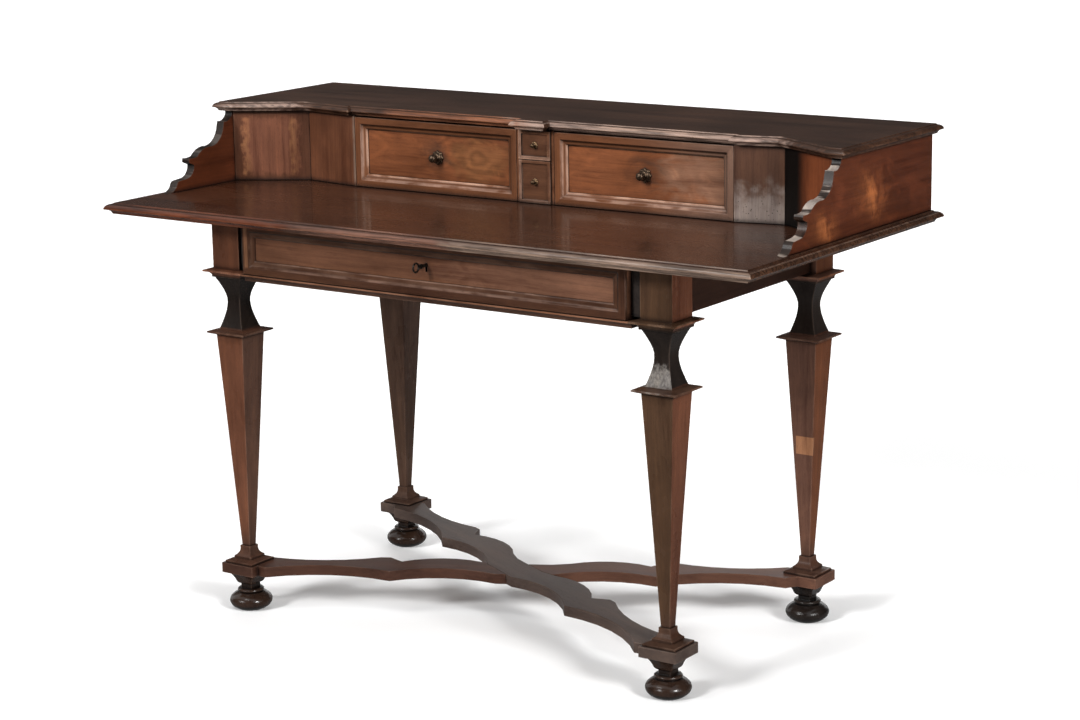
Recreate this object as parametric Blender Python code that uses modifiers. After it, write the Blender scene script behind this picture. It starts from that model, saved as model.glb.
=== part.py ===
"""Walnut writing table with a drawered gallery, built as separate pieces (metres, +Z up).

The table stands on the floor at z = 0, centred on its writing top, with its front towards -Y.
"""
import math

import bmesh
import bpy
from mathutils import Matrix, Vector

# Fits
CLEAR = 0.0003          # gap between pieces that are glued, pegged or cut to each other
RUN = 0.0006            # running gap of a drawer, the bolt or the key

# Writing top
TOP_WIDTH = 1.410
TOP_DEPTH = 0.694
TOP_HEIGHT = 0.790
TOP_THICKNESS = 0.021
TOP_EDGE = 0.014        # how far the edge moulding runs in from its tip

# Legs, square in section, sizes are half widths
LEG_END_SET = 0.230     # leg axis inside the end of the top
LEG_SPAN_Y = 0.497
LEG_BACK_SET = 0.083    # rear leg axis in front of the back edge of the top
POST_HALF = 0.032
POST_HEIGHT = 0.097
CAPITAL_HALF = 0.0470
CAPITAL_HEIGHT = 0.018
CAPITAL_SLOPE = 0.004   # drop of the capital's upper face
LIP_HEIGHT = 0.003
FILLET = 0.0035         # narrow step that ends a moulding
NECK_TOP_HALF = 0.0308
NECK_WAIST_HALF = 0.0151
NECK_FOOT_HALF = 0.0270
NECK_HEIGHT = 0.0995
NECK_WAIST_DROP = 0.047
NECK_STEPS = 12
ABACUS_HALF = 0.0445
ABACUS_HEIGHT = 0.012
TAPER_TOP_HALF = 0.0315
TAPER_END_HALF = 0.0091
BASE_HALF = 0.0330
BASE_STEP_HALF = 0.0205
BASE_STEP = 0.012       # step of the base moulding above its foot
BASE_HEIGHT = 0.032
COLLAR_HALF = 0.0120
COLLAR_HEIGHT = 0.006

# Crossed stretcher: edges of a board, behind or before the line between its legs
STRETCHER_THICKNESS = 0.020
BLOCK_HALF = 0.038      # square end under a leg
CROSS_REACH = 0.050     # half length of the straight part at the crossing
CROSS_REAR = 0.010
CROSS_FRONT = 0.056
SWELL_AT = 0.085        # places along a board, from the crossing
SWELL_REAR = 0.019
SWELL_BULGE = 0.29      # height of an arc over its half chord
NOTCH_AT = 0.240
NOTCH_REAR = 0.012
REAR_CUSP_AT = 0.285
REAR_CUSP = 0.037
REAR_CUSP_FLAT = 0.019
REAR_HOLLOW = 0.18
FRONT_CUSP_AT = 0.254
FRONT_CUSP = 0.053
INNER_HOLLOW = 0.26
OUTER_HOLLOW = 0.22
ROOT_FROM_LEG = 0.040
ROOT_REAR = 0.024
ROOT_FRONT = 0.046

# Feet
FOOT_HEIGHT = 0.074     # floor to the underside of the stretcher
CUP_HALF = 0.0295
CUP_WAIST_HALF = 0.0188
CUP_HEIGHT = 0.0245
FOOT_NECK_HALF = 0.0128
RING_RADIUS = 0.0255    # ring on the bun's crown, round the neck
RING_HEIGHT = 0.0064
BUN_RADIUS = 0.0412
BUN_RISE = 0.0210       # half height of the bun's full round
FOOT_SOLE_RADIUS = 0.0250
DOWEL_RADIUS = 0.0060
DOWEL_IN_LEG = 0.0140
BUN_STEPS = 24

# Apron
RAIL_THICKNESS = 0.020
RAIL_SETBACK = 0.012    # side and back rails behind the post faces
RAIL_DROP = 0.0955      # height of the side and back rails
FRONT_RAIL_BACK = 0.025  # back of the front rail behind the leg axis
TENON_THICKNESS = 0.010
TENON_LENGTH = 0.022
TENON_SHOULDER = 0.014  # rail left above and below a tenon
GUIDE_WIDTH = 0.0205    # strip between the post and the drawer
GUIDE_SETBACK = 0.006
RUNNER_WIDTH = 0.026    # ledge under the drawer's side
RUNNER_THICKNESS = 0.014

# Apron drawer
DRAWER_PROUD = 0.013    # drawer face in front of the posts
DRAWER_DEPTH = 0.440
DRAWER_HEAD_GAP = 0.004
FRONT_BOARD = 0.016
SIDE_BOARD = 0.011
BOTTOM_BOARD = 0.007
BOTTOM_RISE = 0.006     # drawer bottom above the lower edge of the sides
GROOVE = 0.005
SIDE_DROP = 0.012       # drawer sides below the upper edge of the front
APRON_FRAME_FLAT = 0.0136
APRON_FRAME_SLOPE = 0.0135
APRON_FRAME_RISE = 0.006

# Lock of the apron drawer
KEY_HEIGHT = 0.0554     # key above the drawer's lower edge
KEY_SHANK = 0.0030      # radius
KEY_REACH = 0.024       # bow centre in front of the drawer face
BOW_RADIUS = 0.0080
BOW_WIRE = 0.0018
BIT_LENGTH = 0.0085
BIT_WIDTH = 0.0030
BIT_DEPTH = 0.0060
LOCK_WIDTH = 0.056
LOCK_DEPTH = 0.014
LOCK_WALL = 0.003
LOCK_BELOW_KEY = 0.022
BOLT_WIDTH = 0.020
BOLT_THICKNESS = 0.004
BOLT_THROW = 0.010

# Gallery
GALLERY_HEIGHT = 0.157  # writing surface to the upper face of the gallery board
GALLERY_BOARD = 0.018
GALLERY_EDGE = 0.010
GALLERY_BOARD_SET = 0.003  # end of the gallery board inside the end of the top
GALLERY_BACK_SET = 0.014  # gallery back in front of the back edge of the top
SIDE_SET = 0.019        # gallery side panel inside the tip of the writing top
SIDE_PANEL = 0.018
SCROLL_RUN = 0.254      # foot of the side panel's scroll in front of the drawer faces
SCROLL_HEAD = 0.056     # head of the scroll in front of the drawer faces
BACK_PANEL = 0.012
FACE_SET = 0.3925       # gallery drawer faces behind the front tip of the writing top
BLOCK_SHIFT = 0.0185    # the drawer block stands right of the middle
LARGE_DRAWER_WIDTH = 0.3815
SMALL_DRAWER_WIDTH = 0.070
DIVIDER = 0.0060
WALL = 0.012
CANTED_PANEL = 0.010
NICHE_VERTEX_X = 0.535
NICHE_DEPTH = 0.020     # vertex behind the drawer faces
NICHE_REACH = 0.0545    # outer end in front of the drawer faces
CANTED_OVERHANG = 0.019
BLOCK_OVERHANG = 0.009
CENTRE_OVERHANG = 0.028
CENTRE_HALF = 0.040
CENTRE_PROUD = 0.004
LARGE_FRAME_FLAT = 0.013
LARGE_FRAME_SLOPE = 0.012
LARGE_FRAME_RISE = 0.011
GALLERY_DRAWER_STOP = 0.0189  # room behind a large gallery drawer
UPPER_SMALL_HEIGHT = 0.0545
SMALL_FRONT = 0.012
SMALL_BORDER = 0.006
SMALL_SINK = 0.003
SMALL_GAP = 0.0015
SMALL_TRAY_WALL = 0.005
SHELF = 0.004
HEAD_GAP = 0.003        # over a gallery drawer

# Knobs
KNOB_BASE = 0.0140
KNOB_HEAD = 0.0082
KNOB_NECK = 0.0042
KNOB_STEM = 0.0030
KNOB_REACH = 0.0250
SMALL_KNOB = 0.5        # size of the small drawers' knobs to the large ones'
KNOB_STEPS = 16

# Levels and places that follow from the sizes
TOP_UNDER = TOP_HEIGHT - TOP_THICKNESS
POST_TOP = TOP_UNDER - CLEAR
CAPITAL_TOP = TOP_UNDER - POST_HEIGHT
NECK_TOP = CAPITAL_TOP - CAPITAL_HEIGHT
NECK_FOOT = NECK_TOP - NECK_HEIGHT
TAPER_TOP = NECK_FOOT - ABACUS_HEIGHT
STRETCHER_TOP = FOOT_HEIGHT + STRETCHER_THICKNESS
LEG_FOOT = STRETCHER_TOP + CLEAR
TAPER_END = LEG_FOOT + BASE_HEIGHT
LEG_X = TOP_WIDTH / 2 - LEG_END_SET
LEG_REAR_Y = TOP_DEPTH / 2 - LEG_BACK_SET
LEG_FRONT_Y = LEG_REAR_Y - LEG_SPAN_Y
RAIL_BOTTOM = TOP_UNDER - RAIL_DROP
RAIL_TOP = TOP_UNDER - CLEAR
FRONT_RAIL_TOP = CAPITAL_TOP - CAPITAL_SLOPE

DRAWER_FACE_Y = LEG_FRONT_Y - POST_HALF - DRAWER_PROUD
DRAWER_LOW = FRONT_RAIL_TOP + RUN
DRAWER_HIGH = TOP_UNDER - DRAWER_HEAD_GAP
DRAWER_HALF = LEG_X - POST_HALF - CLEAR - GUIDE_WIDTH - RUN
KEY_LEVEL = DRAWER_LOW + KEY_HEIGHT

GALLERY_TOP = TOP_HEIGHT + GALLERY_HEIGHT
GALLERY_UNDER = GALLERY_TOP - GALLERY_BOARD
GALLERY_LOW = TOP_HEIGHT + CLEAR
GALLERY_HIGH = GALLERY_UNDER - CLEAR
GALLERY_BACK_Y = TOP_DEPTH / 2 - GALLERY_BACK_SET
GALLERY_FACE_Y = -TOP_DEPTH / 2 + FACE_SET
SIDE_OUT = TOP_WIDTH / 2 - SIDE_SET
SIDE_IN = SIDE_OUT - SIDE_PANEL
INNER_BACK_Y = GALLERY_BACK_Y - BACK_PANEL - CLEAR
LARGE_BOARD_Y = GALLERY_FACE_Y + LARGE_FRAME_RISE + CLEAR
GALLERY_DRAWER_DEPTH = INNER_BACK_Y - GALLERY_DRAWER_STOP - LARGE_BOARD_Y
COLUMN_HALF = SMALL_DRAWER_WIDTH / 2 + RUN
LARGE_IN = COLUMN_HALF + DIVIDER + RUN
LARGE_OUT = LARGE_IN + LARGE_DRAWER_WIDTH
BLOCK_HALF_WIDTH = LARGE_OUT + RUN

WALNUT = ("walnut", (0.105, 0.043, 0.022), 0.38, 0.0)
DARK_WALNUT = ("dark_walnut", (0.045, 0.022, 0.014), 0.36, 0.0)
LINING = ("lining_wood", (0.205, 0.115, 0.058), 0.62, 0.0)
BRONZE = ("bronze", (0.130, 0.085, 0.045), 0.38, 1.0)
IRON = ("iron", (0.045, 0.040, 0.038), 0.50, 1.0)


# Scene, materials and objects

def start_scene():
    """Empty the scene and return the collections of the parts and of the cutters."""
    for item in list(bpy.data.objects):
        bpy.data.objects.remove(item, do_unlink=True)
    made = []
    for name in ("writing_table", "cutters"):
        collection = bpy.data.collections.new(name)
        bpy.context.scene.collection.children.link(collection)
        made.append(collection)
    return made


PARTS, CUTTERS = start_scene()


def material(look):
    name, colour, roughness, metallic = look
    found = bpy.data.materials.get(name)
    if found:
        return found
    made = bpy.data.materials.new(name)
    made.use_nodes = True
    shader = made.node_tree.nodes["Principled BSDF"]
    shader.inputs["Base Color"].default_value = (*colour, 1.0)
    shader.inputs["Roughness"].default_value = roughness
    shader.inputs["Metallic"].default_value = metallic
    return made


def place(name, mesh, look, matrix=None):
    """Put a mesh in the scene: a part if it has a look, and a cutter if it has none."""
    item = bpy.data.objects.new(name, mesh)
    if matrix is not None:
        item.matrix_world = matrix
    if look is None:
        CUTTERS.objects.link(item)
        item.hide_render = True
        item.display_type = "WIRE"
    else:
        PARTS.objects.link(item)
        mesh.materials.append(material(look))
    return item


def mesh_of(name, bm):
    mesh = bpy.data.meshes.new(name)
    bm.to_mesh(mesh)
    bm.free()
    return mesh


def boolean(target, tool, operation):
    step = target.modifiers.new(operation.lower(), "BOOLEAN")
    step.operation = operation
    step.object = tool
    step.solver = "EXACT"


def cut(target, tool):
    boolean(target, tool, "DIFFERENCE")


def join(target, tool):
    boolean(target, tool, "UNION")


def carry(name, location, pieces):
    """Hang the pieces of one moving body on an empty that stands on its joint axis."""
    empty = bpy.data.objects.new(name, None)
    empty.location = location
    PARTS.objects.link(empty)
    bpy.context.view_layer.update()
    for piece in pieces:
        piece.parent = empty
        piece.matrix_parent_inverse = empty.matrix_world.inverted()


# Basic shapes

def box(name, low, high, look=None):
    low, high = Vector(low), Vector(high)
    bm = bmesh.new()
    bmesh.ops.create_cube(bm, size=1.0)
    bmesh.ops.scale(bm, vec=high - low, verts=bm.verts)
    return place(name, mesh_of(name, bm), look, Matrix.Translation((low + high) / 2))


def rod(name, radius, start, end, look=None, steps=16):
    start, end = Vector(start), Vector(end)
    bm = bmesh.new()
    length = (end - start).length
    bmesh.ops.create_cone(bm, cap_ends=True, segments=steps, radius1=radius, radius2=radius, depth=length)
    turn = Vector((0, 0, 1)).rotation_difference(end - start).to_matrix().to_4x4()
    return place(name, mesh_of(name, bm), look, Matrix.Translation((start + end) / 2) @ turn)


def turned(name, profile, steps, look=None, matrix=None):
    """Turn a profile of (radius, height) points, top to bottom, about Z."""
    bm = bmesh.new()
    verts = [bm.verts.new((radius, 0, height)) for radius, height in profile]
    for upper, lower in zip(verts, verts[1:]):
        bm.edges.new((upper, lower))
    item = place(name, mesh_of(name, bm), look, matrix)
    screw = item.modifiers.new("turn", "SCREW")
    screw.axis = "Z"
    screw.steps = steps
    screw.render_steps = steps
    screw.use_merge_vertices = True
    screw.merge_threshold = 0.00001
    screw.use_smooth_shade = steps > 4
    return item


def squared(name, profile, look=None, location=(0, 0, 0)):
    """Turn a profile of (half width, height) points in four steps, for a square section."""
    corners = [(half * math.sqrt(2), height) for half, height in profile]
    matrix = Matrix.Translation(location) @ Matrix.Rotation(math.radians(45), 4, "Z")
    return turned(name, corners, 4, look, matrix)


def bulged(points, steps=6):
    """Points along an outline of (x, y, bulge): each bulge is the arc's height over its half chord."""
    path = []
    for (x, y, bulge), (next_x, next_y, _) in zip(points, points[1:]):
        start, end = Vector((x, y)), Vector((next_x, next_y))
        path.append(start)
        if not bulge:
            continue
        angle = 4 * math.atan(bulge)
        chord = end - start
        side = Vector((-chord.y, chord.x))
        centre = (start + end) / 2 + side / (2 * math.tan(angle / 2))
        for step in range(1, steps):
            path.append(centre + Matrix.Rotation(angle * step / steps, 2) @ (start - centre))
    path.append(Vector(points[-1][:2]))
    return path


def plate(name, outline, thickness, look=None, matrix=None):
    """Flat outline of the given thickness, its middle plane on the matrix's XY plane."""
    curve = bpy.data.curves.new(name, "CURVE")
    curve.dimensions = "2D"
    curve.fill_mode = "BOTH"
    curve.extrude = thickness / 2
    spline = curve.splines.new("POLY")
    spline.points.add(len(outline) - 1)
    for point, corner in zip(spline.points, outline):
        point.co = (corner[0], corner[1], 0, 1)
    spline.use_cyclic_u = True
    drawn = bpy.data.objects.new(name + "_outline", curve)
    CUTTERS.objects.link(drawn)
    mesh = bpy.data.meshes.new_from_object(drawn.evaluated_get(bpy.context.evaluated_depsgraph_get()))
    bpy.data.objects.remove(drawn, do_unlink=True)
    bm = bmesh.new()
    bm.from_mesh(mesh)
    bmesh.ops.remove_doubles(bm, verts=bm.verts, dist=0.000001)
    bmesh.ops.recalc_face_normals(bm, faces=bm.faces)
    bm.to_mesh(mesh)
    bm.free()
    mesh.name = name
    return place(name, mesh, look, matrix)


# Plane of an outline drawn in (Y, Z), its thickness along X
UPRIGHT = Matrix(((0, 0, 1, 0), (1, 0, 0, 0), (0, 1, 0, 0), (0, 0, 0, 1)))


def upright_plate(name, outline, x_low, x_high, look=None):
    middle = Matrix.Translation(((x_low + x_high) / 2, 0, 0))
    return plate(name, outline, x_high - x_low, look, middle @ UPRIGHT)


def standing_plate(name, outline, z_low, z_high, look=None):
    return plate(name, outline, z_high - z_low, look, Matrix.Translation((0, 0, (z_low + z_high) / 2)))


def loft(name, sections, look=None, ring=False):
    """Skin a row of sections of equal point count, capped at both ends or closed into a ring."""
    bm = bmesh.new()
    rows = [[bm.verts.new(point) for point in section] for section in sections]
    pairs = list(zip(rows, rows[1:]))
    if ring:
        pairs.append((rows[-1], rows[0]))
    else:
        bm.faces.new(rows[0])
        bm.faces.new(rows[-1])
    for row, following in pairs:
        for i in range(len(row)):
            j = (i + 1) % len(row)
            bm.faces.new((row[i], row[j], following[j], following[i]))
    bmesh.ops.recalc_face_normals(bm, faces=bm.faces)
    return place(name, mesh_of(name, bm), look)


def inset(outline, distance):
    """Move every edge of a counter-clockwise outline inwards by the same distance."""
    moved = []
    for i, corner in enumerate(outline):
        before = (corner - outline[i - 1]).normalized()
        after = (outline[(i + 1) % len(outline)] - corner).normalized()
        normal = Vector((-before.y - after.y, before.x + after.x))
        inward = Vector((-before.y, before.x))
        moved.append(corner + normal * (distance / normal.dot(inward)))
    return moved


def moulded_board(name, outline, top, edge, look):
    """Board with a moulded edge, given as (inset, drop) points from the upper face to the lower."""
    sections = []
    for distance, drop in edge:
        sections.append([(*point, top - drop) for point in inset(outline, distance)])
    return loft(name, sections, look)


def rectangle(x_low, x_high, y_low, y_high):
    return [Vector(c) for c in ((x_low, y_low), (x_high, y_low), (x_high, y_high), (x_low, y_high))]


def edge_moulding(width, thickness):
    """Thumb moulding of a board's edge: a fillet, a round, a sharp lip and a hollow under it."""
    fillet = 0.12 * thickness
    lip_top = 0.46 * thickness
    lip_low = 0.60 * thickness
    under = 0.85 * width
    round_part = bulged([(0.93 * width, fillet, -0.36), (0, lip_top, 0)], 5)
    hollow = bulged([(0, lip_low, 0.36), (under, 0.94 * thickness, 0)], 5)
    points = [Vector((width, 0)), *round_part, *hollow, Vector((under, thickness))]
    return [(point.x, point.y) for point in points]


# Legs, feet and stretcher

def capital_front():
    """Moulding of the capital and the front rail, as (half width, height) points from the lip down."""
    lip_low = FRONT_RAIL_TOP - LIP_HEIGHT
    fillet_half = NECK_TOP_HALF + FILLET
    hollow = bulged([(CAPITAL_HALF - FILLET, lip_low, 0.30), (fillet_half, NECK_TOP + FILLET, 0)], 5)
    points = [(CAPITAL_HALF, FRONT_RAIL_TOP), (CAPITAL_HALF, lip_low)]
    points += [(point.x, point.y) for point in hollow]
    return points + [(fillet_half, NECK_TOP)]


def neck():
    """Hollow neck between capital and flange, a hyperbola to each side of the waist."""
    waist = NECK_TOP - NECK_WAIST_DROP
    rise = math.sqrt(NECK_TOP_HALF ** 2 - NECK_WAIST_HALF ** 2) / NECK_WAIST_DROP
    fall = math.sqrt(NECK_FOOT_HALF ** 2 - NECK_WAIST_HALF ** 2) / (waist - NECK_FOOT)
    points = []
    for step in range(NECK_STEPS + 1):
        height = NECK_TOP - NECK_HEIGHT * step / NECK_STEPS
        slope = rise if height > waist else fall
        points.append((math.hypot(NECK_WAIST_HALF, slope * (height - waist)), height))
    return points


def leg_profile():
    flange = NECK_FOOT - ABACUS_HEIGHT / 2
    collar = TAPER_END - COLLAR_HEIGHT
    step = LEG_FOOT + BASE_STEP
    hollow = bulged([(COLLAR_HALF, collar, 0.30), (BASE_STEP_HALF, step, 0)], 4)
    return [
        (0, POST_TOP),
        (POST_HALF, POST_TOP),
        (POST_HALF, CAPITAL_TOP),
        *capital_front(),
        *neck(),
        (ABACUS_HALF, flange + LIP_HEIGHT / 2),
        (ABACUS_HALF, flange - LIP_HEIGHT / 2),
        (TAPER_TOP_HALF, TAPER_TOP),
        (TAPER_END_HALF, TAPER_END),
        (COLLAR_HALF, TAPER_END - CLEAR),
        *[(point.x, point.y) for point in hollow],
        (BASE_STEP_HALF, step - FILLET),
        (BASE_HALF, LEG_FOOT + FILLET),
        (BASE_HALF, LEG_FOOT),
        (0, LEG_FOOT),
    ]


def foot_cup():
    low = FOOT_HEIGHT - CLEAR - CUP_HEIGHT
    waist = FOOT_HEIGHT - CLEAR - 0.78 * CUP_HEIGHT
    outline = [
        (CUP_HALF, FOOT_HEIGHT - CLEAR, 0.12),
        (CUP_WAIST_HALF, waist, -0.25),
        (FOOT_NECK_HALF, low, 0),
    ]
    sides = [(point.x, point.y) for point in bulged(outline, 4)]
    return [(0, FOOT_HEIGHT - CLEAR), *sides, (FOOT_NECK_HALF, BUN_RISE), (0, BUN_RISE)]


def foot_bun():
    """Ring round the foot's neck, and the flattened round from it to the sole on the floor."""
    groove = RING_RADIUS - RING_HEIGHT / 2
    sole = math.asin(math.sqrt(1 - (FOOT_SOLE_RADIUS / BUN_RADIUS) ** 2))
    crown = math.acos(groove / BUN_RADIUS)
    middle = BUN_RISE * math.sin(sole)
    count = BUN_STEPS // 2
    points = []
    for step in range(count + 1):
        angle = crown - (crown + sole) * step / count
        points.append((BUN_RADIUS * math.cos(angle), middle + BUN_RISE * math.sin(angle)))
    ring_top = points[0][1] + RING_HEIGHT
    ring = bulged([(groove, ring_top, -1), (*points[0], 0)], 6)[:-1]
    return [(0, ring_top), *[(point.x, point.y) for point in ring], *points, (0, points[-1][1])]


def make_leg(name, x, y):
    leg = squared(name, leg_profile(), DARK_WALNUT, (x, y, 0))
    reach = LEG_FOOT + DOWEL_IN_LEG + CLEAR
    cut(leg, rod(name + "_dowel_hole", DOWEL_RADIUS + CLEAR, (x, y, 0), (x, y, reach)))
    return leg


def make_foot(name, x, y):
    foot = squared(name, foot_cup(), DARK_WALNUT, (x, y, 0))
    join(foot, turned(name + "_bun", foot_bun(), BUN_STEPS, None, Matrix.Translation((x, y, 0))))
    top = LEG_FOOT + DOWEL_IN_LEG
    join(foot, rod(name + "_dowel", DOWEL_RADIUS, (x, y, FOOT_HEIGHT - CUP_HEIGHT), (x, y, top)))
    return foot


def board_outline(length):
    """Scrolled outline of one stretcher board between two legs, alike to each side of its crossing."""
    root = length - ROOT_FROM_LEG
    front = bulged([
        (CROSS_REACH, -CROSS_FRONT, -INNER_HOLLOW),
        (FRONT_CUSP_AT, -FRONT_CUSP, -OUTER_HOLLOW),
        (root, -ROOT_FRONT, 0),
        (length, -ROOT_FRONT / 2, 0),
    ])
    rear = bulged([
        (CROSS_REACH, CROSS_REAR, 0),
        (SWELL_AT, SWELL_REAR, -SWELL_BULGE),
        (NOTCH_AT, NOTCH_REAR, 0),
        (REAR_CUSP_AT - REAR_CUSP_FLAT, REAR_CUSP, 0),
        (REAR_CUSP_AT, REAR_CUSP, REAR_HOLLOW),
        (root, ROOT_REAR, 0),
        (length, ROOT_REAR / 2, 0),
    ])
    half = front + list(reversed(rear))
    return half + [Vector((-point.x, point.y)) for point in reversed(half)]


def make_stretcher():
    """Two scrolled boards, half lapped at the crossing, each pegged under two legs by the feet."""
    middle_y = (LEG_FRONT_Y + LEG_REAR_Y) / 2
    outline = board_outline(math.hypot(LEG_X, LEG_SPAN_Y / 2))
    angle = math.atan2(LEG_SPAN_Y / 2, LEG_X)
    level = FOOT_HEIGHT + STRETCHER_THICKNESS / 2
    corner = Vector((BLOCK_HALF, BLOCK_HALF, STRETCHER_THICKNESS / 2))
    boards = (("stretcher_rear_left_front_right", -1), ("stretcher_front_left_rear_right", 1))
    for name, slope in boards:
        turn = Matrix.Translation((0, middle_y, level)) @ Matrix.Rotation(slope * angle, 4, "Z")
        board = plate(name, outline, STRETCHER_THICKNESS, WALNUT, turn)
        for end in (-1, 1):
            x, y = end * LEG_X, middle_y + end * slope * LEG_SPAN_Y / 2
            centre = Vector((x, y, level))
            join(board, box(name + "_block", centre - corner, centre + corner))
            cut(board, rod(name + "_peg", DOWEL_RADIUS + CLEAR, (x, y, 0), (x, y, TAPER_END)))
        lift = slope * (STRETCHER_THICKNESS / 2 - CLEAR / 2)
        other = Matrix.Translation((0, middle_y, level + lift)) @ Matrix.Rotation(-slope * angle, 4, "Z")
        cut(board, plate(name + "_lap", inset(outline, -CLEAR), STRETCHER_THICKNESS, None, other))


# Apron

def tenon(rail, leg, low, high):
    """Join a tenon to a rail and cut its mortise in a leg."""
    join(rail, box(rail.name + "_tenon", low, high))
    margin = Vector((CLEAR, CLEAR, CLEAR))
    cut(leg, box(leg.name + "_mortise", low - margin, high + margin))


def make_rail(name, along, middle, ends, legs):
    """Rail between two posts along X (0) or Y (1), tenoned into both."""

    def corner(distance, across, height):
        point = Vector((across, across, height))
        point[along] = distance
        return point

    half = RAIL_THICKNESS / 2
    shoulder = POST_HALF + CLEAR
    rail = box(name, corner(ends[0] + shoulder, middle - half, RAIL_BOTTOM),
               corner(ends[1] - shoulder, middle + half, RAIL_TOP), WALNUT)
    for leg, end, inward in zip(legs, ends, (1, -1)):
        face = end + inward * POST_HALF
        reach = sorted((face - inward * TENON_LENGTH, face + inward * TENON_LENGTH))
        tenon(rail, leg, corner(reach[0], middle - TENON_THICKNESS / 2, RAIL_BOTTOM + TENON_SHOULDER),
              corner(reach[1], middle + TENON_THICKNESS / 2, RAIL_TOP - TENON_SHOULDER))


def make_front_rail(legs):
    """Rail under the apron drawer, moulded like the capitals; returns its back plane."""
    reach = LEG_X - CAPITAL_HALF - CLEAR
    back_y = LEG_FRONT_Y + FRONT_RAIL_BACK
    outline = [(LEG_FRONT_Y - half, height) for half, height in capital_front()]
    outline += [(back_y, NECK_TOP), (back_y, FRONT_RAIL_TOP)]
    rail = upright_plate("front_rail", outline, -reach, reach, WALNUT)
    for side, sign in (("left", -1), ("right", 1)):
        ends = sorted((sign * (reach - TENON_LENGTH), sign * (reach + TENON_LENGTH)))
        low = Vector((ends[0], LEG_FRONT_Y - TENON_THICKNESS, NECK_TOP + FILLET))
        high = Vector((ends[1], LEG_FRONT_Y + TENON_THICKNESS, FRONT_RAIL_TOP - FILLET))
        tenon(rail, legs["front_" + side], low, high)
    return back_y


def make_rails(legs):
    middle = POST_HALF - RAIL_SETBACK - RAIL_THICKNESS / 2
    spans = (LEG_FRONT_Y, LEG_REAR_Y)
    for side, sign in (("left", -1), ("right", 1)):
        pair = (legs["front_" + side], legs["rear_" + side])
        make_rail(side + "_rail", 1, sign * (LEG_X + middle), spans, pair)
    pair = (legs["rear_left"], legs["rear_right"])
    make_rail("back_rail", 0, LEG_REAR_Y + middle, (-LEG_X, LEG_X), pair)
    return make_front_rail(legs)


def make_runners(rail_back_y):
    """Runner under each side of the apron drawer, with the guide strip beside it in one piece."""
    low = FRONT_RAIL_TOP - RUNNER_THICKNESS
    outer = LEG_X - POST_HALF - CLEAR
    inner = outer - GUIDE_WIDTH
    front = LEG_FRONT_Y - POST_HALF + GUIDE_SETBACK
    rear = LEG_REAR_Y - POST_HALF - CLEAR
    for side, sign in (("left", -1), ("right", 1)):
        guide_x = sorted((sign * inner, sign * outer))
        ledge_x = sorted((sign * (inner - RUNNER_WIDTH), sign * (LEG_X - CAPITAL_HALF - CLEAR)))
        run_x = sorted((sign * (inner - RUNNER_WIDTH), sign * inner))
        runner = box(side + "_drawer_runner", (guide_x[0], front, CAPITAL_TOP + CLEAR),
                     (guide_x[1], rear, RAIL_TOP), WALNUT)
        join(runner, box(side + "_ledge", (ledge_x[0], rail_back_y + CLEAR, low),
                         (ledge_x[1], rear, CAPITAL_TOP + FILLET)))
        cut(runner, box(side + "_run", (run_x[0], rail_back_y, FRONT_RAIL_TOP),
                        (run_x[1], LEG_REAR_Y, TOP_HEIGHT)))


# Drawers

def frame_moulding(name, low, high, face_y, flat, slope, rise, look):
    """Applied frame of a drawer front: a flat border that falls in a wave to the panel."""
    wave = bulged([(flat, 0, 0), (flat + 0.12 * slope, 0.25 * rise, -0.25),
                   (flat + 0.55 * slope, 0.55 * rise, 0.25), (flat + slope, rise, 0)], 4)
    profile = [(0, rise), (0, 0)] + [(point.x, point.y) for point in wave]
    sections = []
    for distance, back in profile:
        corners = rectangle(low[0] + distance, high[0] - distance, low[1] + distance, high[1] - distance)
        sections.append([(corner.x, face_y + back, corner.y) for corner in corners])
    return loft(name, sections, look, ring=True)


def make_case(name, low, high, front_y, depth):
    """Front board, two grooved sides, back and bottom of a drawer, as a list of pieces."""
    x_low, z_low = low
    x_high, z_high = high
    board_back = front_y + FRONT_BOARD
    rear = front_y + depth
    side_top = z_high - SIDE_DROP
    floor = z_low + BOTTOM_RISE
    ceiling = floor + BOTTOM_BOARD
    inner_low = x_low + RUN + SIDE_BOARD
    inner_high = x_high - RUN - SIDE_BOARD
    front = box(name + "_front", (x_low, front_y, z_low), (x_high, board_back, z_high), WALNUT)
    groove = box(name + "_groove",
                 (inner_low - GROOVE - CLEAR, board_back - GROOVE - CLEAR, floor - CLEAR),
                 (inner_high + GROOVE + CLEAR, rear - SIDE_BOARD, ceiling + CLEAR))
    cut(front, groove)
    pieces = [front]
    for side, near, far in (("left", x_low + RUN, inner_low), ("right", inner_high, x_high - RUN)):
        board = box(f"{name}_{side}_side", (near, board_back + CLEAR, z_low), (far, rear, side_top), LINING)
        cut(board, groove)
        pieces.append(board)
    pieces.append(box(name + "_back", (inner_low + CLEAR, rear - SIDE_BOARD + CLEAR, z_low + CLEAR),
                      (inner_high - CLEAR, rear, side_top), LINING))
    pieces.append(box(name + "_bottom", (inner_low - GROOVE, board_back - GROOVE, floor),
                      (inner_high + GROOVE, rear - SIDE_BOARD - CLEAR, ceiling), LINING))
    return pieces


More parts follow.
